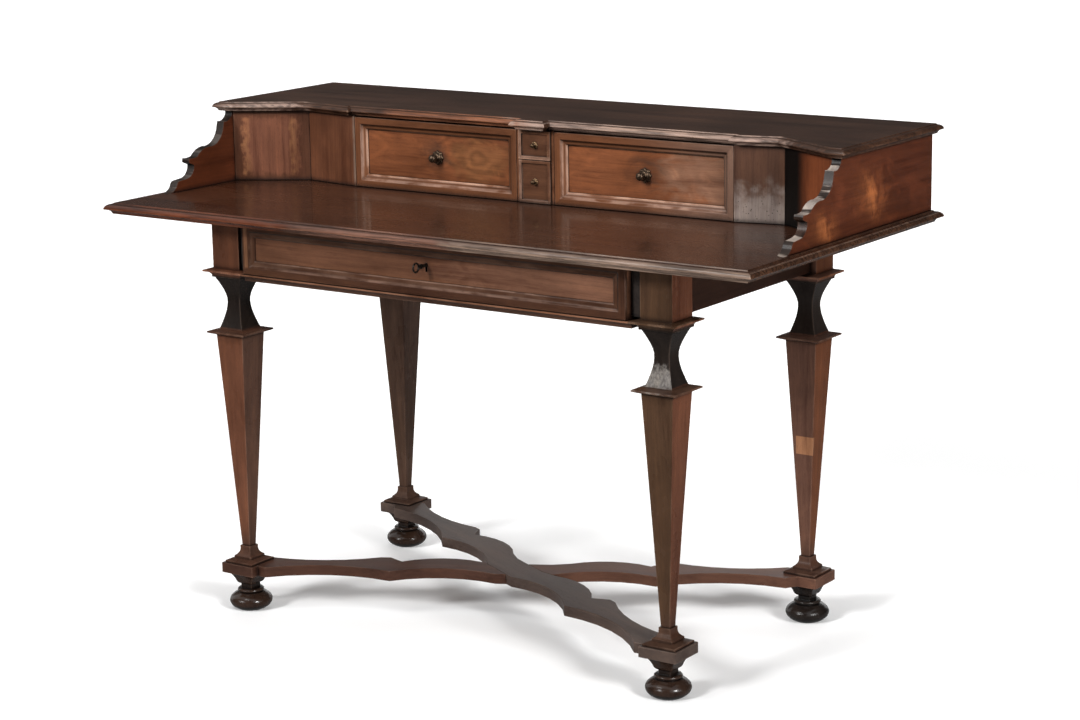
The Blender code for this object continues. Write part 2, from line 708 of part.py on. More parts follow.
def make_knob(name, x, y, z, board, scale=1.0):
    """Bronze knob on a rosette, its stem pegged through the drawer front."""
    head = scale * KNOB_HEAD
    base = scale * KNOB_BASE
    neck_radius = scale * KNOB_NECK
    reach = scale * KNOB_REACH
    stem = scale * KNOB_STEM
    ball_middle = reach - 0.8 * head
    profile = [(0, reach)]
    for step in range(1, 6):
        angle = math.radians(90 - 28 * step)
        profile.append((head * math.cos(angle), ball_middle + 0.8 * head * math.sin(angle)))
    profile += [
        (neck_radius, 0.42 * reach),
        (neck_radius, 0.26 * reach),
        (0.55 * base, 0.20 * reach),
        (0.80 * base, 0.16 * reach),
        (base, 0.08 * reach),
        (base, CLEAR),
        (stem, CLEAR),
        (stem, -board),
        (0, -board),
    ]
    turn = Matrix.Translation((x, y, z)) @ Matrix.Rotation(math.radians(90), 4, "X")
    return turned(name, profile, KNOB_STEPS, BRONZE, turn), stem


def drill(board, x, y, z, radius):
    start, end = (x, y - FRONT_BOARD, z), (x, y + 2 * FRONT_BOARD, z)
    cut(board, rod(board.name + "_hole", radius + CLEAR, start, end))


def make_apron_drawer(top):
    low, high = (-DRAWER_HALF, DRAWER_LOW), (DRAWER_HALF, DRAWER_HIGH)
    board_y = DRAWER_FACE_Y + APRON_FRAME_RISE + CLEAR
    pieces = make_case("apron_drawer", low, high, board_y, DRAWER_DEPTH)
    pieces.append(frame_moulding("apron_drawer_moulding", low, high, DRAWER_FACE_Y, APRON_FRAME_FLAT,
                                 APRON_FRAME_SLOPE, APRON_FRAME_RISE, WALNUT))
    lock, bolt, key = make_lock(pieces[0], top, board_y)
    carry("apron_drawer_slide", (0, DRAWER_FACE_Y, DRAWER_LOW), pieces + [lock])
    carry("lock_bolt_slide", (0, bolt.location.y, KEY_LEVEL), [bolt])
    carry("key_turn", (0, DRAWER_FACE_Y, KEY_LEVEL), [key])


def make_lock(front, top, board_y):
    """Iron lock behind the drawer front: a case, a bolt that rises into the top, and the key."""
    case_y = board_y + FRONT_BOARD + CLEAR
    case_top = DRAWER_HIGH - RUN
    half = LOCK_WIDTH / 2
    case = box("lock_case", (-half, case_y, KEY_LEVEL - LOCK_BELOW_KEY),
               (half, case_y + LOCK_DEPTH, case_top), IRON)
    sweep = BIT_LENGTH + KEY_SHANK + 2 * RUN
    room = LOCK_DEPTH - LOCK_WALL
    cut(case, box("lock_room", (-sweep, case_y - LOCK_WALL, KEY_LEVEL - sweep),
                  (sweep, case_y + room, case_top - LOCK_WALL)))

    bolt_half = BOLT_WIDTH / 2
    bolt_y = case_y + room - RUN - BOLT_THICKNESS
    bolt_high = case_top - RUN
    bolt = box("lock_bolt", (-bolt_half, bolt_y, KEY_LEVEL + sweep + RUN),
               (bolt_half, bolt_y + BOLT_THICKNESS, bolt_high), IRON)
    way_low = Vector((-bolt_half - RUN, bolt_y - RUN, case_top - 2 * LOCK_WALL))
    way_high = Vector((bolt_half + RUN, bolt_y + BOLT_THICKNESS + RUN, bolt_high + BOLT_THROW + RUN))
    mouth = box("bolt_way", way_low, way_high)
    cut(case, mouth)
    cut(top, mouth)

    shank_start = DRAWER_FACE_Y - KEY_REACH + BOW_RADIUS
    shank_end = case_y + room - RUN
    key = rod("lock_key", KEY_SHANK, (0, shank_start, KEY_LEVEL), (0, shank_end, KEY_LEVEL), IRON)
    bow_at = Matrix.Translation((0, DRAWER_FACE_Y - KEY_REACH, KEY_LEVEL))
    upright = Matrix.Rotation(math.radians(90), 4, "Y")
    join(key, place("key_bow", ring_mesh("key_bow", BOW_RADIUS, BOW_WIRE), None, bow_at @ upright))
    collar = 1.5 * KEY_SHANK
    join(key, rod("key_collar", collar, (0, shank_start + collar, KEY_LEVEL),
                  (0, shank_start + 2 * collar, KEY_LEVEL)))
    bit_low = (-BIT_WIDTH / 2, case_y + RUN, KEY_LEVEL - KEY_SHANK - BIT_LENGTH)
    join(key, box("key_bit", bit_low, (BIT_WIDTH / 2, case_y + RUN + BIT_DEPTH, KEY_LEVEL)))
    hole_y = (board_y - FRONT_BOARD, board_y + 2 * FRONT_BOARD)
    cut(front, rod("keyhole", KEY_SHANK + RUN, (0, hole_y[0], KEY_LEVEL), (0, hole_y[1], KEY_LEVEL)))
    slot_half = BIT_WIDTH / 2 + RUN
    slot_low = KEY_LEVEL - KEY_SHANK - BIT_LENGTH - RUN
    cut(front, box("keyhole_slot", (-slot_half, hole_y[0], slot_low), (slot_half, hole_y[1], KEY_LEVEL)))
    return case, bolt, key


def ring_mesh(name, radius, wire, steps=20, sides=8):
    """Closed ring in the XY plane, as a mesh drawn from a bevelled circle."""
    curve = bpy.data.curves.new(name, "CURVE")
    curve.dimensions = "3D"
    curve.bevel_depth = wire
    curve.bevel_resolution = sides // 4 - 1
    spline = curve.splines.new("POLY")
    spline.points.add(steps - 1)
    for i, point in enumerate(spline.points):
        angle = 2 * math.pi * i / steps
        point.co = (radius * math.cos(angle), radius * math.sin(angle), 0, 1)
    spline.use_cyclic_u = True
    drawn = bpy.data.objects.new(name + "_circle", curve)
    CUTTERS.objects.link(drawn)
    mesh = bpy.data.meshes.new_from_object(drawn.evaluated_get(bpy.context.evaluated_depsgraph_get()))
    bpy.data.objects.remove(drawn, do_unlink=True)
    return mesh


# Gallery

def niche_line(sign):
    """Front line of one niche in plan: its outer end at the side panel, its vertex, its inner end."""
    outer = Vector((sign * (SIDE_IN - CLEAR), GALLERY_FACE_Y - NICHE_REACH))
    vertex = Vector((sign * NICHE_VERTEX_X, GALLERY_FACE_Y + NICHE_DEPTH))
    inner = Vector((BLOCK_SHIFT + sign * BLOCK_HALF_WIDTH, GALLERY_FACE_Y))
    return outer, vertex, inner


def shifted(start, end, sign, distance):
    """Line from start to end, moved towards the front by a distance, as (point, direction)."""
    direction = (end - start).normalized()
    front = Vector((direction.y, -direction.x)) * -sign
    return start + front * distance, direction


def at_x(line, x):
    point, direction = line
    return point + direction * ((x - point.x) / direction.x)


def crossing(first, second):
    (p, d), (q, e) = first, second
    reach = (q - p).cross(e) / d.cross(e)
    return p + d * reach


def make_canted_panels(side, sign):
    """Outer and inner canted panel of a niche, mitred to each other at the vertex."""
    outer, vertex, inner = niche_line(sign)
    face = shifted(outer, vertex, sign, 0)
    back = shifted(outer, vertex, sign, -CANTED_PANEL)
    inner_face = shifted(vertex, inner, sign, 0)
    inner_back = shifted(vertex, inner, sign, -CANTED_PANEL)
    corner = crossing(back, inner_back)
    gap = Vector((sign * CLEAR / 2, 0))
    panel = [at_x(face, outer.x), at_x(back, outer.x), corner + gap, vertex + gap]
    standing_plate(side + "_outer_canted_panel", panel, GALLERY_LOW, GALLERY_HIGH, WALNUT)
    panel = [vertex - gap, corner - gap, at_x(inner_back, inner.x), at_x(inner_face, inner.x)]
    standing_plate(side + "_inner_canted_panel", panel, GALLERY_LOW, GALLERY_HIGH, WALNUT)
    return max(at_x(inner_back, inner.x).y, at_x(inner_back, inner.x + sign * WALL).y)


def make_gallery_walls():
    for side, sign in (("left", -1), ("right", 1)):
        front = make_canted_panels(side, sign) + CLEAR
        near = BLOCK_SHIFT + sign * BLOCK_HALF_WIDTH
        ends = sorted((near, near + sign * WALL))
        box(side + "_block_wall", (ends[0], front, GALLERY_LOW),
            (ends[1], INNER_BACK_Y, GALLERY_HIGH), WALNUT)
        near = BLOCK_SHIFT + sign * COLUMN_HALF
        ends = sorted((near, near + sign * DIVIDER))
        box(side + "_column_divider", (ends[0], GALLERY_FACE_Y, GALLERY_LOW),
            (ends[1], INNER_BACK_Y, GALLERY_HIGH), WALNUT)
    box("gallery_back", (CLEAR - SIDE_IN, GALLERY_BACK_Y - BACK_PANEL, GALLERY_LOW),
        (SIDE_IN - CLEAR, GALLERY_BACK_Y, GALLERY_HIGH), WALNUT)


def scroll_outline():
    """Side panel in (Y, Z): a scrolled front edge that steps down and forward to the writing top."""
    rise = GALLERY_UNDER - TOP_HEIGHT
    shares = [
        (0.224, 0.942, -0.35),
        (0.319, 0.863, 0),
        (0.335, 0.748, -0.30),
        (0.469, 0.547, 0.25),
        (0.642, 0.439, -0.10),
        (0.732, 0.432, 0.30),
        (0.736, 0.374, 0),
        (0.681, 0.331, -0.40),
        (0.768, 0.158, 0),
        (0.862, 0.144, 0.20),
        (0.890, 0.072, -0.30),
    ]
    steps = [(GALLERY_FACE_Y - run * SCROLL_RUN, TOP_HEIGHT + height * rise, bulge)
             for run, height, bulge in shares]
    upper = (GALLERY_FACE_Y - SCROLL_HEAD, GALLERY_HIGH, 0)
    lower = (GALLERY_FACE_Y - SCROLL_RUN, GALLERY_LOW, 0)
    scroll = bulged([upper] + steps + [lower], 5)
    return scroll + [Vector((GALLERY_BACK_Y, GALLERY_LOW)), Vector((GALLERY_BACK_Y, GALLERY_HIGH))]


def make_gallery_board():
    """Moulded board over the gallery, its front edge broken round the niches and the drawer block."""
    half = TOP_WIDTH / 2 - GALLERY_BOARD_SET
    block_y = GALLERY_FACE_Y - BLOCK_OVERHANG
    centre_y = GALLERY_FACE_Y - CENTRE_OVERHANG
    front = {}
    for sign in (-1, 1):
        outer, vertex, inner = niche_line(sign)
        canted = shifted(outer, vertex, sign, CANTED_OVERHANG)
        inner_canted = shifted(vertex, inner, sign, CANTED_OVERHANG)
        end = at_x(canted, outer.x)
        step = at_x(inner_canted, inner.x)
        front[sign] = [Vector((sign * half, end.y)), end, crossing(canted, inner_canted), step,
                       Vector((step.x, block_y))]
    break_front = [Vector((BLOCK_SHIFT + x, y)) for x, y in (
        (-CENTRE_HALF, block_y), (-CENTRE_HALF, centre_y), (CENTRE_HALF, centre_y), (CENTRE_HALF, block_y))]
    back = [Vector((half, TOP_DEPTH / 2)), Vector((-half, TOP_DEPTH / 2))]
    outline = front[-1] + break_front + list(reversed(front[1])) + back
    moulded_board("gallery_board", outline, GALLERY_TOP, edge_moulding(GALLERY_EDGE, GALLERY_BOARD), WALNUT)


def make_large_drawer(side, sign):
    ends = sorted((BLOCK_SHIFT + sign * LARGE_IN, BLOCK_SHIFT + sign * LARGE_OUT))
    low = (ends[0], TOP_HEIGHT + RUN)
    high = (ends[1], GALLERY_UNDER - HEAD_GAP)
    board_y = LARGE_BOARD_Y
    name = "gallery_drawer_" + side
    pieces = make_case(name, low, high, board_y, GALLERY_DRAWER_DEPTH)
    pieces.append(frame_moulding(name + "_moulding", low, high, GALLERY_FACE_Y, LARGE_FRAME_FLAT,
                                 LARGE_FRAME_SLOPE, LARGE_FRAME_RISE, WALNUT))
    x, z = sum(ends) / 2, (low[1] + high[1]) / 2
    knob, stem = make_knob(name + "_knob", x, board_y, z, FRONT_BOARD)
    drill(pieces[0], x, board_y, z, stem)
    carry(name + "_slide", (x, GALLERY_FACE_Y, low[1]), pieces + [knob])


def make_small_drawer(name, z_low, z_high, tray_low, tray_high):
    half = SMALL_DRAWER_WIDTH / 2
    x_low, x_high = BLOCK_SHIFT - half, BLOCK_SHIFT + half
    face_y = GALLERY_FACE_Y - CENTRE_PROUD
    board_back = face_y + SMALL_FRONT
    front = box(name + "_front", (x_low, face_y, z_low), (x_high, board_back, z_high), WALNUT)
    border = SMALL_BORDER
    cut(front, box(name + "_field", (x_low + border, face_y - SMALL_SINK, z_low + border),
                   (x_high - border, face_y + SMALL_SINK, z_high - border)))
    rear = face_y + GALLERY_DRAWER_DEPTH
    wall = SMALL_TRAY_WALL
    tray = box(name + "_tray", (x_low + RUN, board_back + CLEAR, tray_low),
               (x_high - RUN, rear, tray_high), LINING)
    cut(tray, box(name + "_hollow", (x_low + RUN + wall, board_back + wall, tray_low + wall),
                  (x_high - RUN - wall, rear - wall, tray_high + wall)))
    field_y = face_y + SMALL_SINK
    z = (z_low + z_high) / 2
    knob, stem = make_knob(name + "_knob", BLOCK_SHIFT, field_y, z, SMALL_FRONT - SMALL_SINK, SMALL_KNOB)
    drill(front, BLOCK_SHIFT, field_y, z, stem)
    carry(name + "_slide", (BLOCK_SHIFT, face_y, z_low), [front, tray, knob])


def make_gallery_column():
    """Two small drawers, one over the other, with a thin shelf between their trays."""
    front_high = GALLERY_UNDER - HEAD_GAP
    split = front_high - UPPER_SMALL_HEIGHT
    shelf_low = split - SHELF
    back_of_front = GALLERY_FACE_Y - CENTRE_PROUD + SMALL_FRONT + CLEAR
    half = COLUMN_HALF - CLEAR
    box("small_drawer_shelf", (BLOCK_SHIFT - half, back_of_front, shelf_low),
        (BLOCK_SHIFT + half, INNER_BACK_Y, split), WALNUT)
    tray_high = front_high - SIDE_DROP
    make_small_drawer("upper_small_drawer", split + SMALL_GAP / 2, front_high, split + CLEAR, tray_high)
    lower_low, lower_high = TOP_HEIGHT + RUN, split - SMALL_GAP / 2
    make_small_drawer("lower_small_drawer", lower_low, lower_high, lower_low, shelf_low - SIDE_DROP / 2)


def main():
    legs = {}
    for end, y in (("front", LEG_FRONT_Y), ("rear", LEG_REAR_Y)):
        for side, x in (("left", -LEG_X), ("right", LEG_X)):
            name = f"{end}_{side}"
            legs[name] = make_leg(name + "_leg", x, y)
            make_foot(name + "_foot", x, y)
    make_stretcher()
    make_runners(make_rails(legs))

    half_x, half_y = TOP_WIDTH / 2, TOP_DEPTH / 2
    top = moulded_board("writing_top", rectangle(-half_x, half_x, -half_y, half_y), TOP_HEIGHT,
                        edge_moulding(TOP_EDGE, TOP_THICKNESS), WALNUT)
    make_apron_drawer(top)

    upright_plate("left_side_panel", scroll_outline(), -SIDE_OUT, -SIDE_IN, WALNUT)
    upright_plate("right_side_panel", scroll_outline(), SIDE_IN, SIDE_OUT, WALNUT)
    make_gallery_walls()
    make_gallery_board()
    make_large_drawer("left", -1)
    make_large_drawer("right", 1)
    make_gallery_column()


main()
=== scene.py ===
"""Looks of the writing table: old polished walnut, bronze knobs, an iron key, studio light and camera."""

import math

import bmesh
import bpy
from mathutils import Matrix, Vector


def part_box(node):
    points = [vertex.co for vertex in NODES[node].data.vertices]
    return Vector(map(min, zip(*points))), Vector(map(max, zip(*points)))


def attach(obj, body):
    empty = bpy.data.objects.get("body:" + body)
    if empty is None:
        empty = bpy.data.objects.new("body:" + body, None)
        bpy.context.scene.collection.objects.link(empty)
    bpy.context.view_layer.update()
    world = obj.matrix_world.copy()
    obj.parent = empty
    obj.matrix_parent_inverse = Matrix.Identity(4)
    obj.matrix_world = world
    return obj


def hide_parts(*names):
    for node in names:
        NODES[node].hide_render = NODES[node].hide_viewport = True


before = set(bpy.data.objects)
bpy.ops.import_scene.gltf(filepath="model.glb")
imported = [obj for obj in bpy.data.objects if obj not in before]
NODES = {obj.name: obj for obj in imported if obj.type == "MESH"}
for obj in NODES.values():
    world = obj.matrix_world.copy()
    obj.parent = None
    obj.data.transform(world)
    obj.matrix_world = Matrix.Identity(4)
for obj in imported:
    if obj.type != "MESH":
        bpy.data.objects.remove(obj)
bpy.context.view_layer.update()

# Camera, fitted to the table's straight edges in the photograph
EYE = (2.7997, -3.9640, 1.5887)
YAW, PITCH, ROLL = (math.radians(angle) for angle in (34.7165, -12.6627, -0.9512))
LENS = 88.685
SENSOR = 36.0

# Light: spot, strength and angle of each sun; spot, target, power and size of each softbox
AMBIENT = 0.19
SUN_TARGET = (0.0, 0.0, 0.4)
SUNS = {"front_sun": ((-0.9, -3.0, 2.0), 2.70, 13),
        "right_sun": ((3.1, -1.0, 2.1), 2.25, 13),
        "back_sun": ((-1.6, 3.2, 3.0), 0.60, 50)}
SOFTBOXES = {"front_softbox": ((-0.45, -1.45, 2.1), (0.0, 0.0, 0.7), 12.0, (0.8, 0.5)),
             "right_softbox": ((2.3, -0.9, 0.95), (0.5, 0.0, 0.6), 12.0, (0.6, 0.9))}

# Corners and shade of the dark cards that reflections see
FLAGS = {"back_flag": (((-9, 2.2, 0.75), (6, 2.2, 0.75), (6, 2.2, 6.0), (-9, 2.2, 6.0)), 0.06),
         "floor_flag": (((-3, -3, 0.001), (3, -3, 0.001), (3, 4, 0.001), (-3, 4, 0.001)), 0.22),
         "front_flag": (((-9, -0.95, 0.0), (1.1, -0.95, 0.0), (1.1, -0.95, 1.2), (-9, -0.95, 1.2)), 0.05),
         "right_flag": (((1.25, -0.1, 0.0), (1.25, 9, 0.0), (1.25, 9, 1.6), (1.25, -0.1, 1.6)), 0.05)}

# Floor: its lift is the part of its white that takes no shadow, in the shade's middle and far from it
FLOOR_COLOUR = (0.91, 0.91, 0.91, 1.0)
FLOOR_LIFT = (0.0, 0.40)
FLOOR_REACH = (0.55, 1.05)
SHADE_MIDDLE = (0.10, -0.25, 0.0)
FLOOR_SIZE = 60.0
WHITE = (1.0, 1.0, 1.0, 1.0)

# Edges
SOFT_EDGE = 0.0011
EDGE_STEPS = 2
SMOOTH_ANGLE = math.radians(32)
FLAT_ANGLE = math.radians(0.2)
JOIN_WIDTH = 0.00001
WELD_WIDTH = 0.000004

# Large knob: size in metres; along its profile radius and reach in millimetres, and depth of lobes as a share
KNOB_RADIUS, KNOB_REACH = 0.0140, 0.0250
KNOB_STEPS = 48
KNOB_LOBES = 8
MILLIMETRE = 0.001
KNOB_PROFILE = (
    (13.9, 0.3, 0.20), (14.0, 1.2, 0.20), (12.6, 2.8, 0.16), (10.4, 3.5, 0.10), (9.0, 3.1, 0.04),
    (8.2, 3.6, 0.0), (7.9, 4.9, 0.0), (6.6, 5.5, 0.0), (4.7, 6.3, 0.0), (4.1, 8.4, 0.0), (4.3, 10.6, 0.0),
    (5.6, 12.2, 0.03), (7.5, 14.6, 0.09), (8.2, 17.6, 0.10), (7.7, 20.2, 0.09), (6.0, 22.4, 0.06),
    (4.2, 23.4, 0.02), (3.2, 23.5, 0.0), (2.7, 24.5, 0.0), (1.4, 24.9, 0.0))

# Places on the table that a finish refers to, in metres
COLLAR_FOOT, NECK_FOOT, NECK_TOP = 0.5425, 0.5545, 0.6540
LEG_BASE = 0.130
POST_FOOT = 0.672
RAIL_LIP = 0.665
STRETCHER_TURN = math.atan2(0.497, 0.950)
BLOOM_AND_HIGHLIGHT_HEIGHT = (NECK_FOOT - 0.004, NECK_FOOT + 0.034)
PATCH_HEIGHT = (0.326, 0.3605)
PATCH_LEFT, PATCH_RIGHT = 0.0145, 0.05      # from the leg's middle
PATCH_DEPTH = (0.0172, 0.0168)              # in front of the leg's middle
PATCH_BLUR = 0.0004
SHEEN_FROM = (0.20, 0.44)                   # along X, on the right drawer's frame
STILE_STRIP = (0.0035, 0.0115)              # from the frame's left
STILE_STRIP_FOOT = (0.010, 0.016)           # from the frame's foot
BORDER_WIDTH = (0.0060, 0.0085)             # from the front's left and foot
CORNER_WIDTH = (0.008, 0.003)               # from the panel's end
SQUARE_HEIGHT, SQUARE_WIDTH = (0.803, 0.914), (-0.652, -0.554)
SQUARE_SIDES = ((-0.650, -0.641), (-0.567, -0.558))
SQUARE_BLUR = 0.005
NICHE_SHADOW = (0.568, 0.602)               # along X
BLEACH_HEIGHT = (0.812, 0.872)
LIGHT_ARM = (-0.10, 0.25)                   # along X
FLAME_LEVEL, FLAME_SLOPE = 0.845, -0.45
FLAMES = ((0.098, 0.090, 0.024, (0.815, 0.880), 0.034),     # middle, halo, core, height and blur of each
          (-0.088, 0.080, 0.028, (0.790, 0.832), 0.028))

# Waves per metre: along the grain, across it and through it; for metal and worm holes in all directions
SWAY = (1.6, 6.0, 6.0)
BANDS = (1.8, 34.0, 34.0)
STREAKS = (7.0, 240.0, 240.0)
FIBRES = (30.0, 1400.0, 1400.0)
PORES = (75.0, 2300.0, 2300.0)
CLOUDS = (4.0, 7.0, 7.0)
CURLS = (11.0, 20.0, 20.0)
WEAR = (14.0, 40.0, 40.0)
DENTS = (22.0, 40.0, 40.0)
METAL_CLOUDS, METAL_PITS = (220.0,) * 3, (1500.0,) * 3
WORM_CELLS = 190.0

# Angle that the rings of a figure turn through per reach of it
RING_ANGLE = 15.0

# Shift of the grain from one piece to the next, along it, across it and through it
SHIFT_ALONG, SHIFT_ACROSS, SHIFT_THROUGH = 1.7, 0.9, 2.3

# Reach of rubbed edges and of grime with painted shade in corners, and how wood and polish bend light
EDGE_WEAR, METAL_WEAR, CORNER_GRIME_AND_SHADE = 0.0045, 0.002, 0.014
WOOD_IOR, POLISH_IOR = 1.47, 1.4

# Tones of the wood, as seen from the front
DEEP_SHARES, LIGHT_SHARES = (0.58, 0.52, 0.50), (1.40, 1.36, 1.26)
RUBBED = (0.230, 0.165, 0.125, 1.0)
WORM_HOLE = (0.02, 0.014, 0.01, 1.0)
TOP_TONE = (0.036, 0.0135, 0.0068)
# Moulded edges: painted light, darker at the left and a painted highlight at the right, with painted shade
# where they face away
TOP_EDGE_TONE = (0.074, 0.021, 0.009)
MIDDLE_EDGE_TONE = (0.110, 0.052, 0.035)
EDGE_HIGHLIGHT_TONE = (0.152, 0.103, 0.078)
BOARD_TONE = (0.034, 0.0175, 0.0115)
BOARD_EDGE_TONE = (0.158, 0.060, 0.029)
BOARD_EDGE_HIGHLIGHT_TONE = (0.228, 0.156, 0.126)
SHADED_EDGE_TONE = (0.045, 0.020, 0.011)
# Painted highlight with wear, and painted shade, for mouldings by the way they face
MOULDING_WEAR_AND_HIGHLIGHT_TONE = (0.310, 0.190, 0.140)
PAINTED_SHADE_TONE = (0.012, 0.007, 0.005)
PANEL_TONE = (0.140, 0.046, 0.018)
FRAME_TONE = (0.110, 0.041, 0.018)
# Painted sheen at the right of the right drawer's frame
SHEEN_TONE = (0.135, 0.082, 0.060)
HANDLED_TONE = (0.050, 0.022, 0.013)
SMALL_DRAWER_TONE = (0.100, 0.042, 0.022)
# Rubbed border with a painted highlight
BORDER_WEAR_AND_HIGHLIGHT_TONE = (0.250, 0.150, 0.110)
APRON_TONE = (0.096, 0.040, 0.021)
# Painted sheen on the apron drawer's right part
APRON_SHEEN_TONE = (0.160, 0.074, 0.044)
APRON_FRAME_TONE = (0.051, 0.021, 0.011)
PALE_STILE_TONE = (0.185, 0.085, 0.043)
SIDE_TONE = (0.064, 0.0165, 0.0065)
# Painted highlight, with wear, on the upward parts of the scrolls
SCROLL_WEAR_AND_HIGHLIGHT_TONE = (0.330, 0.280, 0.250)
FLAME_TONE = (0.255, 0.080, 0.025)
NICHE_TONE = (0.092, 0.034, 0.017)
WORN_NICHE_TONE = (0.070, 0.027, 0.0145)
SQUARE_TONE = (0.125, 0.047, 0.027)
SQUARE_SIDE_TONE = (0.220, 0.098, 0.043)
BLEACHED_NICHE_TONE = (0.066, 0.030, 0.018)
BLEACHED_TONE = (0.215, 0.172, 0.152)
RIGHT_NICHE_TONE = (0.116, 0.032, 0.012)
NICHE_SHADOW_TONE = (0.0030, 0.0020, 0.0016)
INNER_TONE = (0.070, 0.030, 0.015)
BACK_RAIL_TONE = (0.070, 0.032, 0.017)
# Side rails, darkened with painted shade as under the top
SIDE_RAIL_TONE = (0.028, 0.011, 0.006)
RUNNER_TONE = (0.027, 0.020, 0.017)
BLACKENED = (0.0120, 0.0086, 0.0072)
COLLAR_TONE = (0.044, 0.023, 0.016)
# Pale grey bloom and painted highlight on the front right neck
BLOOM_AND_HIGHLIGHT_TONE = (0.170, 0.155, 0.144)
PATCH_TONE = (0.210, 0.096, 0.048)
FOOT_TONE = (0.0225, 0.0120, 0.0080)
STRETCHER_TONE = (0.044, 0.019, 0.012)
BRIGHT_STRETCHER_TONE = (0.078, 0.035, 0.022)
GREY_STRETCHER_TONE = (0.056, 0.038, 0.031)
LINING_TONE = (0.205, 0.115, 0.058)

# Bands of a moulded edge, painted light that is darker to the left and a highlight to the right: from X, to X
# and tone
BAND_BLUR = 0.035
TOP_BANDS = ((-0.8, -0.25, TOP_EDGE_TONE), (-0.25, 0.1, MIDDLE_EDGE_TONE), (0.1, 0.8, EDGE_HIGHLIGHT_TONE))
BOARD_BANDS = ((-0.67, -0.55, BOARD_EDGE_HIGHLIGHT_TONE), (-0.34, 0.0, BOARD_EDGE_TONE),
               (-0.02, 0.54, BOARD_EDGE_HIGHLIGHT_TONE))

# Bright spot of a drawer panel, figure in the wood on the left and a painted sheen on the right: middle and
# reach in X and Z, bright tone and share of rings
PANEL_FIGURE_AND_SHEEN = {"left": ((-0.120, 0.860), (0.085, 0.050), (0.150, 0.060, 0.023), 0.17),
           "right": ((0.400, 0.862), (0.150, 0.060), (0.195, 0.100, 0.062), 0.05)}
# Painted sheen on the apron drawer: middle and reach in X and Z, and tone
APRON_SHEEN = ((0.27, 0.722), (0.24, 0.07), APRON_SHEEN_TONE)

# Legs: tone at the front and at the sides, lit and shaded copies that paint light and shade, and the post's
# painted brightness at the front and at the sides
LEGS = {"front_left": ((0.086, 0.033, 0.018), (0.062, 0.031, 0.021), (0.80, 1.0)),
        "front_right": ((0.048, 0.025, 0.014), (0.086, 0.032, 0.017), (1.15, 1.9)),
        "rear_left": ((0.056, 0.031, 0.021), (0.074, 0.042, 0.030), (1.0, 1.0)),
        "rear_right": ((0.078, 0.037, 0.025), (0.088, 0.030, 0.013), (1.0, 1.1))}

# Metals: tone of the skin, tone where it is bright, and roughness
METALS = {"old_bronze": ((0.050, 0.031, 0.019), (0.21, 0.14, 0.085), 0.32),
          "golden_bronze": ((0.062, 0.036, 0.019), (0.25, 0.15, 0.075), 0.34),
          "old_iron": ((0.030, 0.024, 0.020), (0.13, 0.11, 0.09), 0.42)}


# Shader nodes

def add(tree, kind, inputs=None, **settings):
    """New node with its settings, and each input linked to a socket or set to a value."""
    node = tree.nodes.new(kind)
    for key, value in settings.items():
        setattr(node, key, value)
    for key, value in (inputs or {}).items():
        if isinstance(value, bpy.types.NodeSocket):
            tree.links.new(value, node.inputs[key])
        else:
            node.inputs[key].default_value = value
    return node


def maths(tree, operation, first, second=0.0):
    return add(tree, "ShaderNodeMath", {0: first, 1: second}, operation=operation).outputs[0]


def product(tree, first, *others):
    for value in others:
        first = maths(tree, "MULTIPLY", first, value)
    return first


def total(tree, first, *others):
    for value in others:
        first = maths(tree, "ADD", first, value)
    return first


def less(tree, first, second):
    return maths(tree, "SUBTRACT", first, second)


def square_sum(tree, first, second):
    return total(tree, product(tree, first, first), product(tree, second, second))


def scaled(tree, vector, factors):
    return add(tree, "ShaderNodeVectorMath", {0: vector, 1: factors}, operation="MULTIPLY").outputs[0]


def moved(tree, vector, shift):
    return add(tree, "ShaderNodeVectorMath", {0: vector, 1: shift}, operation="ADD").outputs[0]


def noise(tree, vector, waves, detail=3.0, roughness=0.55, distortion=0.0):
    """Noise from 0 to 1, with so many waves per metre in each direction of a vector."""
    inputs = {"Vector": scaled(tree, vector, waves), "Scale": 1.0, "Detail": detail,
              "Roughness": roughness, "Distortion": distortion}
    return add(tree, "ShaderNodeTexNoise", inputs).outputs["Fac"]


def spread(tree, value, low, high, to_low=0.0, to_high=1.0):
    """Smooth step from to_low to to_high as a value goes from low to high."""
    inputs = {"Value": value, "From Min": low, "From Max": high, "To Min": to_low, "To Max": to_high}
    return add(tree, "ShaderNodeMapRange", inputs, interpolation_type="SMOOTHSTEP").outputs["Result"]


def jagged(tree, value, margin, reach):
    """Shift from -reach to reach, as noise goes from a margin above 0 to the same margin below 1."""
    return spread(tree, value, margin, 1.0 - margin, -reach, reach)


def in_band(tree, value, low, high, soft):
    """One between low and high, falling to zero over a soft margin."""
    rise = spread(tree, value, low - soft, low + soft)
    fall = spread(tree, value, high - soft, high + soft, 1.0, 0.0)
    return product(tree, rise, fall)


def mixed(tree, factor, first, second):
    """Blend of two colours."""
    return add(tree, "ShaderNodeMix", {0: factor, 6: first, 7: second}, data_type="RGBA").outputs[2]


def shaded(tree, colour, value):
    """Colour multiplied by a value."""
    return add(tree, "ShaderNodeVectorMath", {0: colour, "Scale": value}, operation="SCALE").outputs[0]


def here(tree):
    """Surface point in the table's frame, which stays with a piece that moves."""
    return add(tree, "ShaderNodeTexCoord").outputs["Object"]


def place(tree):
    """X, Y and Z of a surface point."""
    return add(tree, "ShaderNodeSeparateXYZ", {0: here(tree)}).outputs


def facing(tree):
    """X, Y and Z of the direction that a surface faces."""
    normal = add(tree, "ShaderNodeNewGeometry").outputs["True Normal"]
    return add(tree, "ShaderNodeSeparateXYZ", {0: normal}).outputs


